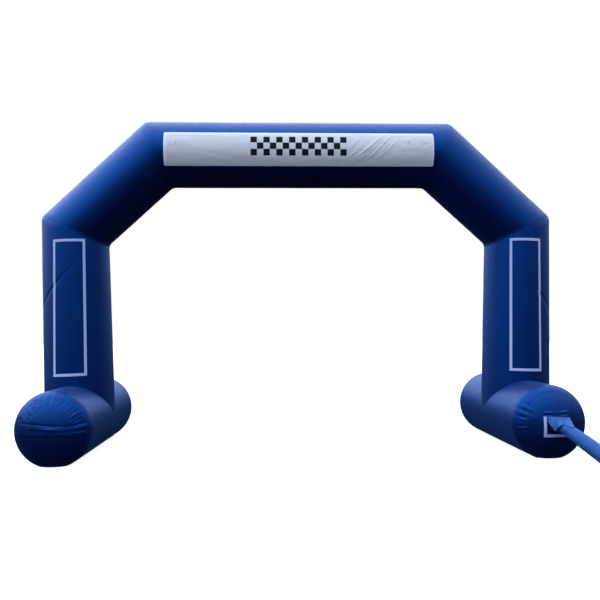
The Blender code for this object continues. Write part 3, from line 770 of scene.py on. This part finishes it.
def leg_tube(side):
    return Tube(side.leg_base, side.knee, LEG_BASE_RADIUS, KNEE_RADIUS)


def leg_cuts(side):
    """The saddle seam on the foot, which is no plane, and the mitre at the knee."""
    saddle = Cut(None, None, 0.0, SADDLE_SEED + side.order, -side.sign)
    upper = mitre(side.knee, side.leg_base, side.shoulder, KNEE_SEED + side.order, -side.sign)
    return saddle, upper


def on_foot(side, x):
    """The height of the foot's round back at x, a gap above its skin."""
    across = x - side.sign * FOOT_X
    return FOOT_Z + np.sqrt((FOOT_RADIUS + GAP) ** 2 - across**2)


def leg_ends(side, angles):
    """How far along the leg its skin starts on the foot and ends at the knee's seam."""
    tube, (saddle, upper) = leg_tube(side), leg_cuts(side)
    start, radii = 0 * angles, LEG_BASE_RADIUS + pucker(angles, 0, saddle)
    for _ in range(6):
        points = tube_points(tube, angles, start, radii)
        start = start + (on_foot(side, points[..., 0]) - points[..., 2]) / axis_of(tube)[2]
    return start, meets(tube, KNEE_RADIUS, upper, angles)


def crease_depth(side, angles, distances):
    """How deep the leg's slanted crease is here."""
    crease = CREASES[side.name]
    inward = -side.sign * angles
    height = crease.middle + crease.rise * np.sin(inward + math.radians(CREASE_TURN))
    middle = (np.minimum(height, CREASE_TOP) - LEG_BASE_Z) / axis_of(leg_tube(side))[2]
    beside = np.abs(np.degrees(wrapped(inward)) - crease.centre) / crease.half_width
    shape = sum(part * bell(distances - middle, width) for part, width in CREASE_WIDTHS)
    return CREASE_DEPTH * np.cos(np.minimum(beside, 1) * math.pi / 2) ** 2 * shape


def leg_radius(side, angles, distances):
    ends, seed = leg_ends(side, angles), 107 + side.sign
    radii = skin_radius(leg_tube(side), angles, distances, ends, leg_cuts(side), seed)
    return radii - crease_depth(side, angles, distances)


def leg_surface(side, angles, heights, lift):
    """Points on the leg's skin, creases included, at these angles and heights."""
    distances = (heights - LEG_BASE_Z) / axis_of(leg_tube(side))[2]
    radii = leg_radius(side, angles, distances) + lift
    return tube_points(leg_tube(side), angles, distances, radii)


def make_leg(side):
    distances = between(leg_ends(side, RING_ANGLES), crowded(LEG_ROWS, 0.5)[:, None])
    radii = leg_radius(side, RING_ANGLES, distances)
    rings = tube_points(leg_tube(side), RING_ANGLES, distances, radii)
    middle = rings[0].mean(0)
    closing = [middle + (rings[0] - middle) * share for share in LEG_CLOSING]
    for ring in closing:
        ring[:, 2] = on_foot(side, ring[:, 0])
    air_skin(f"leg_{side.name}", rings, distances, "air_cloth", start=closing)


# Foot tubes and domes

def dome_arc(turns):
    """Metres of skin between the ring seam and these turns, without sign."""
    steps = np.radians(np.linspace(0, 90, 361))
    slopes = np.hypot(FOOT_RADIUS * np.sin(steps), DOME_DEPTH * np.cos(steps))
    arcs = np.concatenate(([0], np.cumsum((slopes[1:] + slopes[:-1]) / 2 * np.diff(steps))))
    at_seam = np.interp(SEAM_TURN, np.degrees(steps), arcs)
    return np.abs(np.interp(turns, np.degrees(steps), arcs) - at_seam)


def dome_points(side, end, angles, turns, lift):
    """Points on a foot's end: angle round its axis from the top, turn from side to tip."""
    turns = np.radians(turns)
    out, ahead = np.cos(turns) / FOOT_RADIUS, np.sin(turns) / DOME_DEPTH
    size = np.hypot(out, ahead)
    radius = FOOT_RADIUS * np.cos(turns) + out / size * lift
    reach = STRAIGHT_HALF + DOME_DEPTH * np.sin(turns) + ahead / size * lift
    heights = FOOT_Z + radius * np.cos(angles)
    across = side.sign * FOOT_X + radius * np.sin(angles)
    return stacked(across, end * reach, np.maximum(heights, 0))


def solid_gathers(seed):
    """The heights of the solid's gathers: valleys at even facets, crests at odd ones."""
    draw = random.Random(seed)
    sizes = [0.3 + 0.7 * draw.random() for _ in range(SOLID_SIDES)]
    return np.array([size if i % 2 else -size for i, size in enumerate(sizes)])


def gather_strength(side, angles):
    """Gathers are deep on the side of a foot towards the gateway, and faint elsewhere."""
    off = np.degrees(wrapped(angles + side.sign * math.radians(GATHER_SIDE)))
    return between((GATHER_FAINT, GATHER_STRONG), bell(off, GATHER_SPREAD))


def gather_lift(side, end, angles, away, part):
    """How far cloth gathered into a ring seam stands off the plain foot, metres from the seam."""
    seed, reach = 10 + side.sign * 2 + end, GATHER_REACH[side.name][part]
    heights = solid_gathers(seed)
    drift = 0.5 * ring_noise(angles, 11, seed + 40) * away
    place = np.mod(angles + drift, math.tau) / math.tau * SOLID_SIDES
    left = np.floor(place).astype(int) % SOLID_SIDES
    odd = left % 2
    ends = heights[(left + odd) % SOLID_SIDES], heights[left + 1 - odd]
    from_valley = np.abs(odd - (place - np.floor(place)))
    wave = between(ends, np.sin(from_valley * math.pi / 2) ** 0.8)
    length = 1 + 0.4 * ring_noise(angles, 23, seed + 41)
    fine, fine_length = folds(angles, GATHER_FINE, seed + 42)
    coarse = GATHER_SHARE * GATHER_HEIGHT * wave
    lift = coarse * np.exp(-((away / (reach * length)) ** GATHER_FADE))
    fine = FINE_HEIGHT * (fine - 0.5)
    lift = lift + fine * np.exp(-((away / (reach * fine_length)) ** GATHER_FADE))
    lift = lift * gather_strength(side, angles) - SEAM_DRAW * bell(away, SEAM_DRAW_REACH)
    if side is LEFT and end < 0:
        lift = lift + top_wrinkles(angles, away)
    return lift


def top_wrinkles(angles, away):
    """The scattered short wrinkles on top of the left foot's front end."""
    off = np.degrees(wrapped(angles - math.radians(TOP_WRINKLE_AT)))
    columns = angles / math.tau * TOP_WRINKLE_CELLS
    rows = away / TOP_WRINKLE_LENGTH + off * TOP_WRINKLE_SLANT
    wander = cloth_noise(columns, rows, TOP_WRINKLE_CELLS, 131)
    near = bell(off, TOP_WRINKLE_SPREAD) * bell(away, TOP_WRINKLE_REACH)
    return TOP_WRINKLE_DEPTH * near * (0.3 - bell(wander, 0.35))


def make_foot(side):
    """A foot's tube, with the parts of its two domes that lie inside their ring seams."""
    rings, lengths, side_arc = [], [], dome_arc(0)

    def add_ring(end, turn, away, wrinkles=0):
        lift = gather_lift(side, end, RING_ANGLES, away, "foot") + wrinkles
        rings.append(dome_points(side, end, RING_ANGLES, turn, lift))
        lengths.append(end * (STRAIGHT_HALF + side_arc - away))

    for turn in SEAM_TURN * (1 - evenly(DOME_ROWS) ** 0.8):
        for end in (-1, 1):
            add_ring(end, turn, dome_arc(turn))
    for y in between((-STRAIGHT_HALF, STRAIGHT_HALF), evenly(FOOT_ROWS)[1:-1]):
        wrinkles = body_wrinkles(RING_ANGLES, y + 2, 111 + side.sign)
        add_ring(-1 if y < 0 else 1, 0, side_arc + STRAIGHT_HALF - abs(y), wrinkles)
        rings[-1][:, 1] = y
    order = np.argsort(lengths)
    rings, lengths = np.array(rings)[order], np.array(lengths)[order]
    for index, end in ((0, -1), (-1, 1)):
        rings[index][:, 1] = end * (SEAM_REACH - GAP / 2)
    air_skin(f"foot_{side.name}", rings, lengths[:, None], "air_cloth")


def cap_lift(side, end, angles, turns):
    """How far a dome's cloth stands off the plain dome: gathers, wrinkles and sewn-on parts."""
    away = dome_arc(turns)
    lift = gather_lift(side, end, angles, away, "cap")
    seed = 121 + side.sign * 2 + end
    rim = bell(away, CAP_RIM) * (1 - np.exp(-away / CAP_RIM_START))
    lift = lift + slow_waves(CAP_RAYS, angles, away, seed) * rim * gather_strength(side, angles)
    lift = lift + slow_waves(CAP_WAVES, angles, away, seed + 5) * (1 - np.exp(-away / 0.05))
    if end > 0:
        return lift
    plain = dome_points(side, end, angles, turns, 0)
    marks = strip_marks if side is LEFT else inlet_marks
    return lift + marks(plain[..., 0], plain[..., 2])


def strip_strength(share):
    """The strip's ribs fade out towards its ends."""
    first, last = STRIP_FADES
    return smooth_step(share / first) * smooth_step((1 - share) / last)


def strip_marks(x, z):
    """The dome's cloth drawn in along the upper and lower stitches of the strip."""
    share = (x + FOOT_X) / STRIP_REACH / 2 + 0.5
    drawn = sum(
        depth * bell(z - between(heights, share) - rise, STRIP_MARK_WIDTH)
        for heights, rise, depth in STRIP_MARKS
    )
    return -drawn * strip_strength(share)


def inlet_marks(x, z):
    """The opening that the sleeve comes out of, and two folds above the flap."""
    left, right = INLET_X
    sides = np.minimum(x - left - POCKET_INSET, right - POCKET_INSET - x)
    ends = np.minimum(z - INLET_BOTTOM - POCKET_INSET, POCKET_TOP - z)
    marks = -POCKET_DEPTH * smooth_step(np.minimum(sides, ends) / POCKET_EDGE)
    for fold in INLET_FOLDS:
        across = (x - fold.x) / fold.half_length
        offset = z - fold.z - fold.slope * (x - fold.x)
        ridge = bell(offset, FOLD_WIDTH) - 0.8 * bell(offset + FURROW_BELOW, FURROW_WIDTH)
        marks = marks + fold.height * ridge * np.exp(-(across**4))
    return marks


def make_cap(side, end, place):
    turns = between((SEAM_TURN, 90), evenly(CAP_ROWS)[:-1, None] ** 1.15)
    lift = cap_lift(side, end, RING_ANGLES, turns)
    rings = dome_points(side, end, RING_ANGLES, turns, lift)
    rings[0][:, 1] = end * (SEAM_REACH + GAP / 2)
    pole = rings[-1].mean(0)
    # the domes take the darker cloth, with its painted shade and reflection
    air_skin(f"cap_{side.name}_{place}", rings, dome_arc(turns), "cap_cloth", end=[pole])


# Tapes

def make_tape(name, place, length):
    """A tape with stitches along both edges. place(along, across, lift) gives its points."""
    along = np.linspace(0, length, max(int(length / TAPE_ROW), 4) + 1)[:, None]
    across = TAPE_WIDTH * (TAPE_COLUMNS - 0.5)
    edge = np.abs(across) / (TAPE_WIDTH / 2)
    tucks = np.abs(np.sin(along / TAPE_TUCK_PITCH * math.tau + 7 * np.sin(along * 5)))
    lift = TAPE_SEAT + TAPE_CROWN * (1 - edge**4) + TAPE_TUCK * tucks * edge**2
    uvs = stacked(across, along)
    tape = cloth_sheet(name, place(along, across, lift), TAPE_THICKNESS, "pale_tape", uvs)
    from_middle = TAPE_WIDTH / 2 - TAPE_STITCH_INSET
    for line in (-from_middle, from_middle):
        sew(name.rpartition("_")[0], place, length, line, TAPE_STITCH_LIFT)


def straight_strip(points_at, x, y, upright=False):
    """The place function of a level or upright strip that starts at (x, y) of a surface."""
    if upright:
        return lambda along, across, lift: points_at(x + across, y + along, lift)
    return lambda along, across, lift: points_at(x + along, y - across, lift)


def tape_middle(side, edge, heights):
    """The middle line of an upright strip at these heights, as angles round the leg."""
    share = (FRAME_TOP - heights) / (FRAME_TOP - FRAME_BOTTOM)
    return -side.sign * np.radians(between(FRAME_EDGES[side.name][edge], share))


def upright_tape(side, edge):
    """The place function and length of an upright strip, between the two level ones."""
    def place(along, across, lift):
        heights = FRAME_BOTTOM + TAPE_WIDTH / 2 + GAP + along
        angles = tape_middle(side, edge, heights) + across / LEG_BASE_RADIUS
        return leg_surface(side, angles, heights, lift)

    return place, FRAME_TOP - FRAME_BOTTOM - TAPE_WIDTH - 2 * GAP


def level_tape(side, height):
    """The same of a level strip, between the outer edges of the two upright ones."""
    ends = [tape_middle(side, edge, np.array(height)) for edge in ("outer", "inner")]
    first = min(ends) - TAPE_WIDTH / 2 / LEG_BASE_RADIUS

    def place(along, across, lift):
        return leg_surface(side, first + along / LEG_BASE_RADIUS, height - across, lift)

    return place, float((max(ends) - min(ends)) * LEG_BASE_RADIUS + TAPE_WIDTH)


def make_tape_frame(side):
    strips = {
        "outer": upright_tape(side, "outer"),
        "inner": upright_tape(side, "inner"),
        "top": level_tape(side, FRAME_TOP),
        "bottom": level_tape(side, FRAME_BOTTOM),
    }
    for strip, (place, length) in strips.items():
        make_tape(f"tape_{side.name}_{strip}", place, length)


# Banner

def banner_ripples(x, angles):
    """How far the banner's ripples and pinches stand off the crossbar."""
    total = 0 * (x + angles)
    for middle, angle, slope, half_length, half_width, height in BANNER_RIPPLES:
        across, upward = x - middle, TUBE_RADIUS * np.radians(angles - angle)
        c, s = math.cos(math.radians(slope)), math.sin(math.radians(slope))
        along, beside = across * c + upward * s, upward * c - across * s
        total = total + height * bell(along, half_length) * bell(beside, half_width)
    for middle, angle in BANNER_PINCHES:
        away = np.hypot(x - middle, TUBE_RADIUS * np.radians(angles - angle)) / PINCH_RADIUS
        total = total + PINCH_DEPTH * (0.7 * bell(away, 2.2) - bell(away, 1))
    return total


def banner_points(along, up, lift):
    """Points of the banner, by their place on its cloth laid flat."""
    x, angles = BANNER_X[0] + along, BANNER_ANGLES[0] + np.degrees(up / TUBE_RADIUS)
    radii = TUBE_RADIUS + BANNER_SEAT + banner_ripples(x, angles) + lift
    turn = np.radians(angles)
    return stacked(x, -radii * np.cos(turn), CROSSBAR_Z + radii * np.sin(turn))


def make_banner():
    width, height = BANNER_WIDTH, BANNER_HEIGHT
    up = between((0, height), crowded(BANNER_ROWS, 0.5))[:, None]
    from_edge = np.minimum(np.minimum(up, height - up), BANNER_CORNER)
    inset = BANNER_CORNER - np.sqrt(BANNER_CORNER**2 - (BANNER_CORNER - from_edge) ** 2)
    along = inset + (width - 2 * inset) * crowded(BANNER_COLUMNS, 0.3)
    to_edge = np.minimum(np.minimum(along, width - along), np.minimum(up, height - up))
    hem = BANNER_HEM_LIFT * smooth_step((BANNER_HEM - to_edge) / BANNER_STEP + 0.5)
    hem = hem + 0.6 * BANNER_HEM_LIFT * smooth_step((BANNER_LOW_HEM - up) / BANNER_STEP + 0.5)
    slack = cloth_noise(along / SLACK_CELL[0], up / SLACK_CELL[1], 60, 71) * BANNER_SLACK
    crimp = cloth_noise(along / CRIMP_CELL[0], up / CRIMP_CELL[1], 120, 72) * BANNER_SLACK
    inner = smooth_step(to_edge / BANNER_EDGE)
    lift = hem + slack * inner + crimp * (1 - inner) * smooth_step(to_edge / BANNER_STEP)
    grid = banner_points(along, up, lift + BANNER_SLACK)
    banner = cloth_sheet("banner", grid, BANNER_THICKNESS, "banner_cloth", stacked(along, up))
    for inset in BANNER_STITCHES:
        for y in (inset, height - inset):
            sew("banner", straight_strip(banner_points, inset, y), width - 2 * inset)
        for x in (inset, width - inset):
            sew("banner", straight_strip(banner_points, x, inset, True), height - 2 * inset)


# Inlet and the strip on the domes

def dome_front(side, x, z, lift):
    """Points of a front dome's dressed skin straight behind (x, z)."""
    across, rise = x - side.sign * FOOT_X, z - FOOT_Z
    turns = np.arccos(np.clip(np.hypot(across, rise) / FOOT_RADIUS, 0, 1))
    angles = np.mod(np.arctan2(across, rise), math.tau)
    gathers = np.maximum(gather_lift(side, -1, angles, dome_arc(np.degrees(turns)), "cap"), 0)
    reach = STRAIGHT_HALF + DOME_DEPTH * np.sin(turns)
    reach = reach + (gathers + lift) / np.maximum(np.sin(turns), 0.5)
    return stacked(x, -reach, z)


def make_inlet_tapes():
    (left, right), (left_top, right_top) = INLET_X, INLET_TOPS
    above, half = INLET_BOTTOM + TAPE_WIDTH + GAP, TAPE_WIDTH / 2
    strips = (
        ("left", left + half, above, True, left_top - above),
        ("bottom", left, INLET_BOTTOM + half, False, right - left),
        ("right", right - half, above, True, right_top - above),
    )
    on_dome = partial(dome_front, RIGHT)
    for name, x, z, upright, length in strips:
        place = straight_strip(on_dome, x, z, upright)
        make_tape(f"inlet_tape_{name}", place, length)


def pressed(grid, press):
    """Draws a cloth's points towards the sleeve, onto which press shares of it are pressed."""
    stops = route_points(SLEEVE_ROUTE, np.linspace(0, FLAP_OVER, 200))
    apart = np.linalg.norm(grid[:, :, None] - stops[:, :3], axis=-1) - stops[:, 3]
    nearest = stops[apart.argmin(-1)]
    spoke = grid - nearest[..., :3]
    reach = np.linalg.norm(spoke, axis=-1)
    excess = np.maximum(reach - nearest[..., 3] - FLAP_SEAT, 0)
    return grid - spoke * (excess * press / reach)[..., None]


def make_flap():
    """The flap, sewn along its top and thrown over the root of the sleeve."""
    up, shares = evenly(FLAP_ROWS), evenly(FLAP_COLUMNS_FINE)
    columns = []
    for (x, z), middle, bottom in FLAP_COLUMNS:
        top = dome_front(RIGHT, np.array(x), np.array(z), TAPE_SEAT)
        columns.append(route_points([bottom, middle, top], up))
    grid = np.stack([route_points(row, shares) for row in np.stack(columns, 1)])
    up = up[:, None]
    free = smooth_step((1 - up) / FLAP_FREE)
    wrinkle = cloth_noise(shares * 9, up * 1.5, 11, 81) * FLAP_WRINKLE * free
    hem = FLAP_HEM_LIFT * smooth_step((FLAP_HEM - up) / FLAP_HEM_STEP)
    lift = wrinkle + FLAP_LIFT * free + hem
    grid = grid + unit(np.array(FLAP_OUTWARD)) * lift[..., None]
    press = smooth_step((FLAP_PRESSED - up) / FLAP_PRESSED)
    grid = pressed(grid, press * smooth_step((shares - FLAP_LOOSE) / FLAP_PRESS_STEP))
    width = float(path_length(grid[FLAP_ROWS // 2]))
    drops = path_length(grid)
    tall, area = float(drops.max()), float(drops.mean() * width)
    uvs = stacked(shares * width, up * tall)
    flap = cloth_sheet("inlet_flap", grid, FLAP_THICKNESS, "sleeve_cloth", uvs)


def make_sleeve():
    """The inlet's air sleeve, from inside the dome's opening down to its hemmed mouth."""
    stops = route_points(SLEEVE_ROUTE, evenly(SLEEVE_ROWS))
    ahead = np.append(unit(stops[-1, :3] - stops[-2, :3]), 0)
    hem_rows = stops[-1] + ahead * np.linspace(0, SLEEVE_HEM, 9)[1:, None]
    stops = np.concatenate((stops, hem_rows))
    centres, widths = stops[:, :3], stops[:, 3:]
    directions = unit(np.gradient(centres, axis=0))
    steps = np.linalg.norm(np.diff(centres, axis=0), axis=1)
    lengths = np.concatenate(([0], np.cumsum(steps)))[:, None]
    sideways = unit(np.cross(directions, UP))
    upward = np.cross(sideways, directions)
    around = np.arange(SLEEVE_SIDES) / SLEEVE_SIDES * math.tau
    angles, along = np.broadcast_arrays(around, lengths)
    bend = sum(bell(along - place, reach) for place, reach in SLEEVE_BENDS)
    offset = slow_waves(SLEEVE_WAVES, angles + SLEEVE_TWIST * along, along, 91)
    offset = offset + slow_waves(SLEEVE_RINGS, angles, along, 92) * bend
    seam = np.abs(wrapped(angles - SLEEVE_SEAM)) * SLEEVE_RADIUS
    offset = offset - SLEEVE_SEAM_DEPTH * bell(seam, SLEEVE_SEAM_WIDTH)
    offset = offset * smooth_step(along / SLEEVE_ROOT)
    from_mouth = lengths[-1] - along
    hem = SLEEVE_HEM_LIFT * smooth_step((SLEEVE_HEM - from_mouth) / SLEEVE_HEM_STEP + 0.5)
    radii = (widths + offset - SLEEVE_DRAW + hem)[..., None]
    turn = around[:, None]
    out = upward[:, None] * np.cos(turn) + sideways[:, None] * np.sin(turn)
    rings = centres[:, None] + out * radii
    rings[..., 2] = np.maximum(rings[..., 2], 0)
    closing = []
    for inward, back in MOUTH_RINGS:
        share = 1 - inward / SLEEVE_RADIUS
        ring = centres[-1] + (rings[-1] - centres[-1]) * share - directions[-1] * back
        ring[:, 2] = np.maximum(ring[:, 2], MOUTH_FLOOR)
        closing.append(ring)
    air_skin("inlet_sleeve", rings, lengths, "sleeve_cloth", end=closing)


def make_vent_strip():
    """The welted strip across the left front dome: two soft ribs between its stitches."""
    share = crowded(STRIP_COLUMNS, 0.3)
    x = -FOOT_X + between((-STRIP_REACH, STRIP_REACH), share)
    rise = evenly(STRIP_ROWS)[:, None]
    z = between((between(STRIP_BOTTOM, share), between(STRIP_TOP, share)), rise)
    lift = cloth_noise(share * 22, rise * 2, 23, 95) * STRIP_WRINKLE
    for rib in STRIP_RIBS:
        swell = 1 + rib.swell * bell(share - rib.at, RIB_SWELL_REACH)
        lift = lift + rib.height * swell * bell(rise - rib.rise, rib.half_width)
    lift = STRIP_SEAT + lift * strip_strength(share) + STRIP_LIFT
    grid = dome_front(LEFT, x, z, lift)
    left_end, right_end = (top - bottom for top, bottom in zip(STRIP_TOP, STRIP_BOTTOM))
    uvs = stacked(x, rise * left_end)
    # the strip takes the domes' darker cloth, with its painted shade and reflection
    strip = cloth_sheet("vent_strip", grid, STRIP_THICKNESS, "cap_cloth", uvs)


# Stage, light and camera

def stage_piece(name, glow, diffuse, unseen_by):
    """Makes the mesh just added a plain piece of the stage, which these kinds of ray pass by."""
    piece = bpy.context.active_object
    piece.name = name
    material, tree, shader = new_material(name)
    inputs = {
        "Base Color": (diffuse, diffuse, diffuse, 1),
        "Specular IOR Level": 0,
        "Roughness": 1,
        "Emission Color": (1, 1, 1, 1),
        "Emission Strength": glow,
    }
    set_inputs(tree, shader, inputs)
    piece.data.materials.append(material)
    for ray in unseen_by:
        setattr(piece, f"visible_{ray}", False)


def make_stage():
    """A white floor and backdrop that light nothing, so undersides stay dark, and a low dark ring.

    The ring isn't in the picture. It keeps low light off the feet, as hedges and people do.
    """
    only_seen = ("diffuse", "glossy", "transmission", "shadow")
    sizes = {"radius": STAGE_RADIUS, "location": (0, 0, FLOOR_Z)}
    bpy.ops.mesh.primitive_circle_add(vertices=96, fill_type="NGON", **sizes)
    stage_piece("stage_floor", FLOOR_GLOW, FLOOR_DIFFUSE, only_seen)
    radius = STAGE_RADIUS - 0.01
    bpy.ops.mesh.primitive_uv_sphere_add(segments=64, ring_count=32, radius=radius)
    stage_piece("stage_backdrop", 1.0, 0.0, only_seen)
    sizes = {"radius": RING_RADIUS, "depth": RING_HEIGHT, "location": (0, 0, RING_HEIGHT / 2)}
    bpy.ops.mesh.primitive_cylinder_add(vertices=64, end_fill_type="NOTHING", **sizes)
    stage_piece("stage_surroundings", 0.0, RING_DIFFUSE, ("camera",))


def make_world():
    """A soft sky: brightest overhead and to the left, dark below the horizon."""
    world = bpy.data.worlds.new("soft_sky")
    world.use_nodes = True
    tree = world.node_tree
    place = node(tree, "TexCoord")["Generated"]
    height = node(tree, "SeparateXYZ", {0: place})["Z"]
    ramp = node(tree, "ValToRGB", {"Fac": fade(tree, height, -1, 1, 0, 1)})["Color"]
    stops = ramp.node.color_ramp.elements
    while len(stops) < len(SKY_STOPS):
        stops.new(0.5)
    for stop, (sine, glow) in zip(stops, SKY_STOPS):
        stop.position = sine / 2 + 0.5
        share = min(max(sine / LOW_SKY_TOP, 0), 1)
        colour = (between(pair, share) * glow for pair in zip(LOW_SKY_COLOUR, SKY_COLOUR))
        stop.color = (*colour, 1)
    slant = vector_node(tree, "DOT_PRODUCT", place, SKY_SLANT)["Value"]
    strength = math_node(tree, "ADD", slant, 1.0)
    set_inputs(tree, tree.nodes["Background"], {"Color": ramp, "Strength": strength})
    bpy.context.scene.world = world


def make_camera():
    turns = ((-CAMERA_YAW, "Z"), (math.pi / 2 + CAMERA_PITCH, "X"), (CAMERA_ROLL, "Z"))
    yaw, pitch, roll = (Matrix.Rotation(angle, 4, axis) for angle, axis in turns)
    camera = bpy.data.objects.new("camera", bpy.data.cameras.new("camera"))
    camera.matrix_world = yaw @ pitch @ roll
    camera.location = CAMERA_PLACE
    camera.data.lens, camera.data.sensor_width = CAMERA_LENS, CAMERA_SENSOR
    camera.data.clip_end = 300
    bpy.context.scene.collection.objects.link(camera)
    bpy.context.scene.camera = camera


def main():
    make_camera()
    make_world()
    make_stage()
    bpy.context.scene.view_settings.view_transform = "Standard"
    make_crossbar()
    for side in (LEFT, RIGHT):
        make_diagonal(side)
        make_leg(side)
        make_foot(side)
        make_cap(side, -1, "front")
        make_cap(side, 1, "back")
        make_tape_frame(side)
    make_banner()
    make_vent_strip()
    make_inlet_tapes()
    make_flap()
    make_sleeve()
    make_stitches()


main()
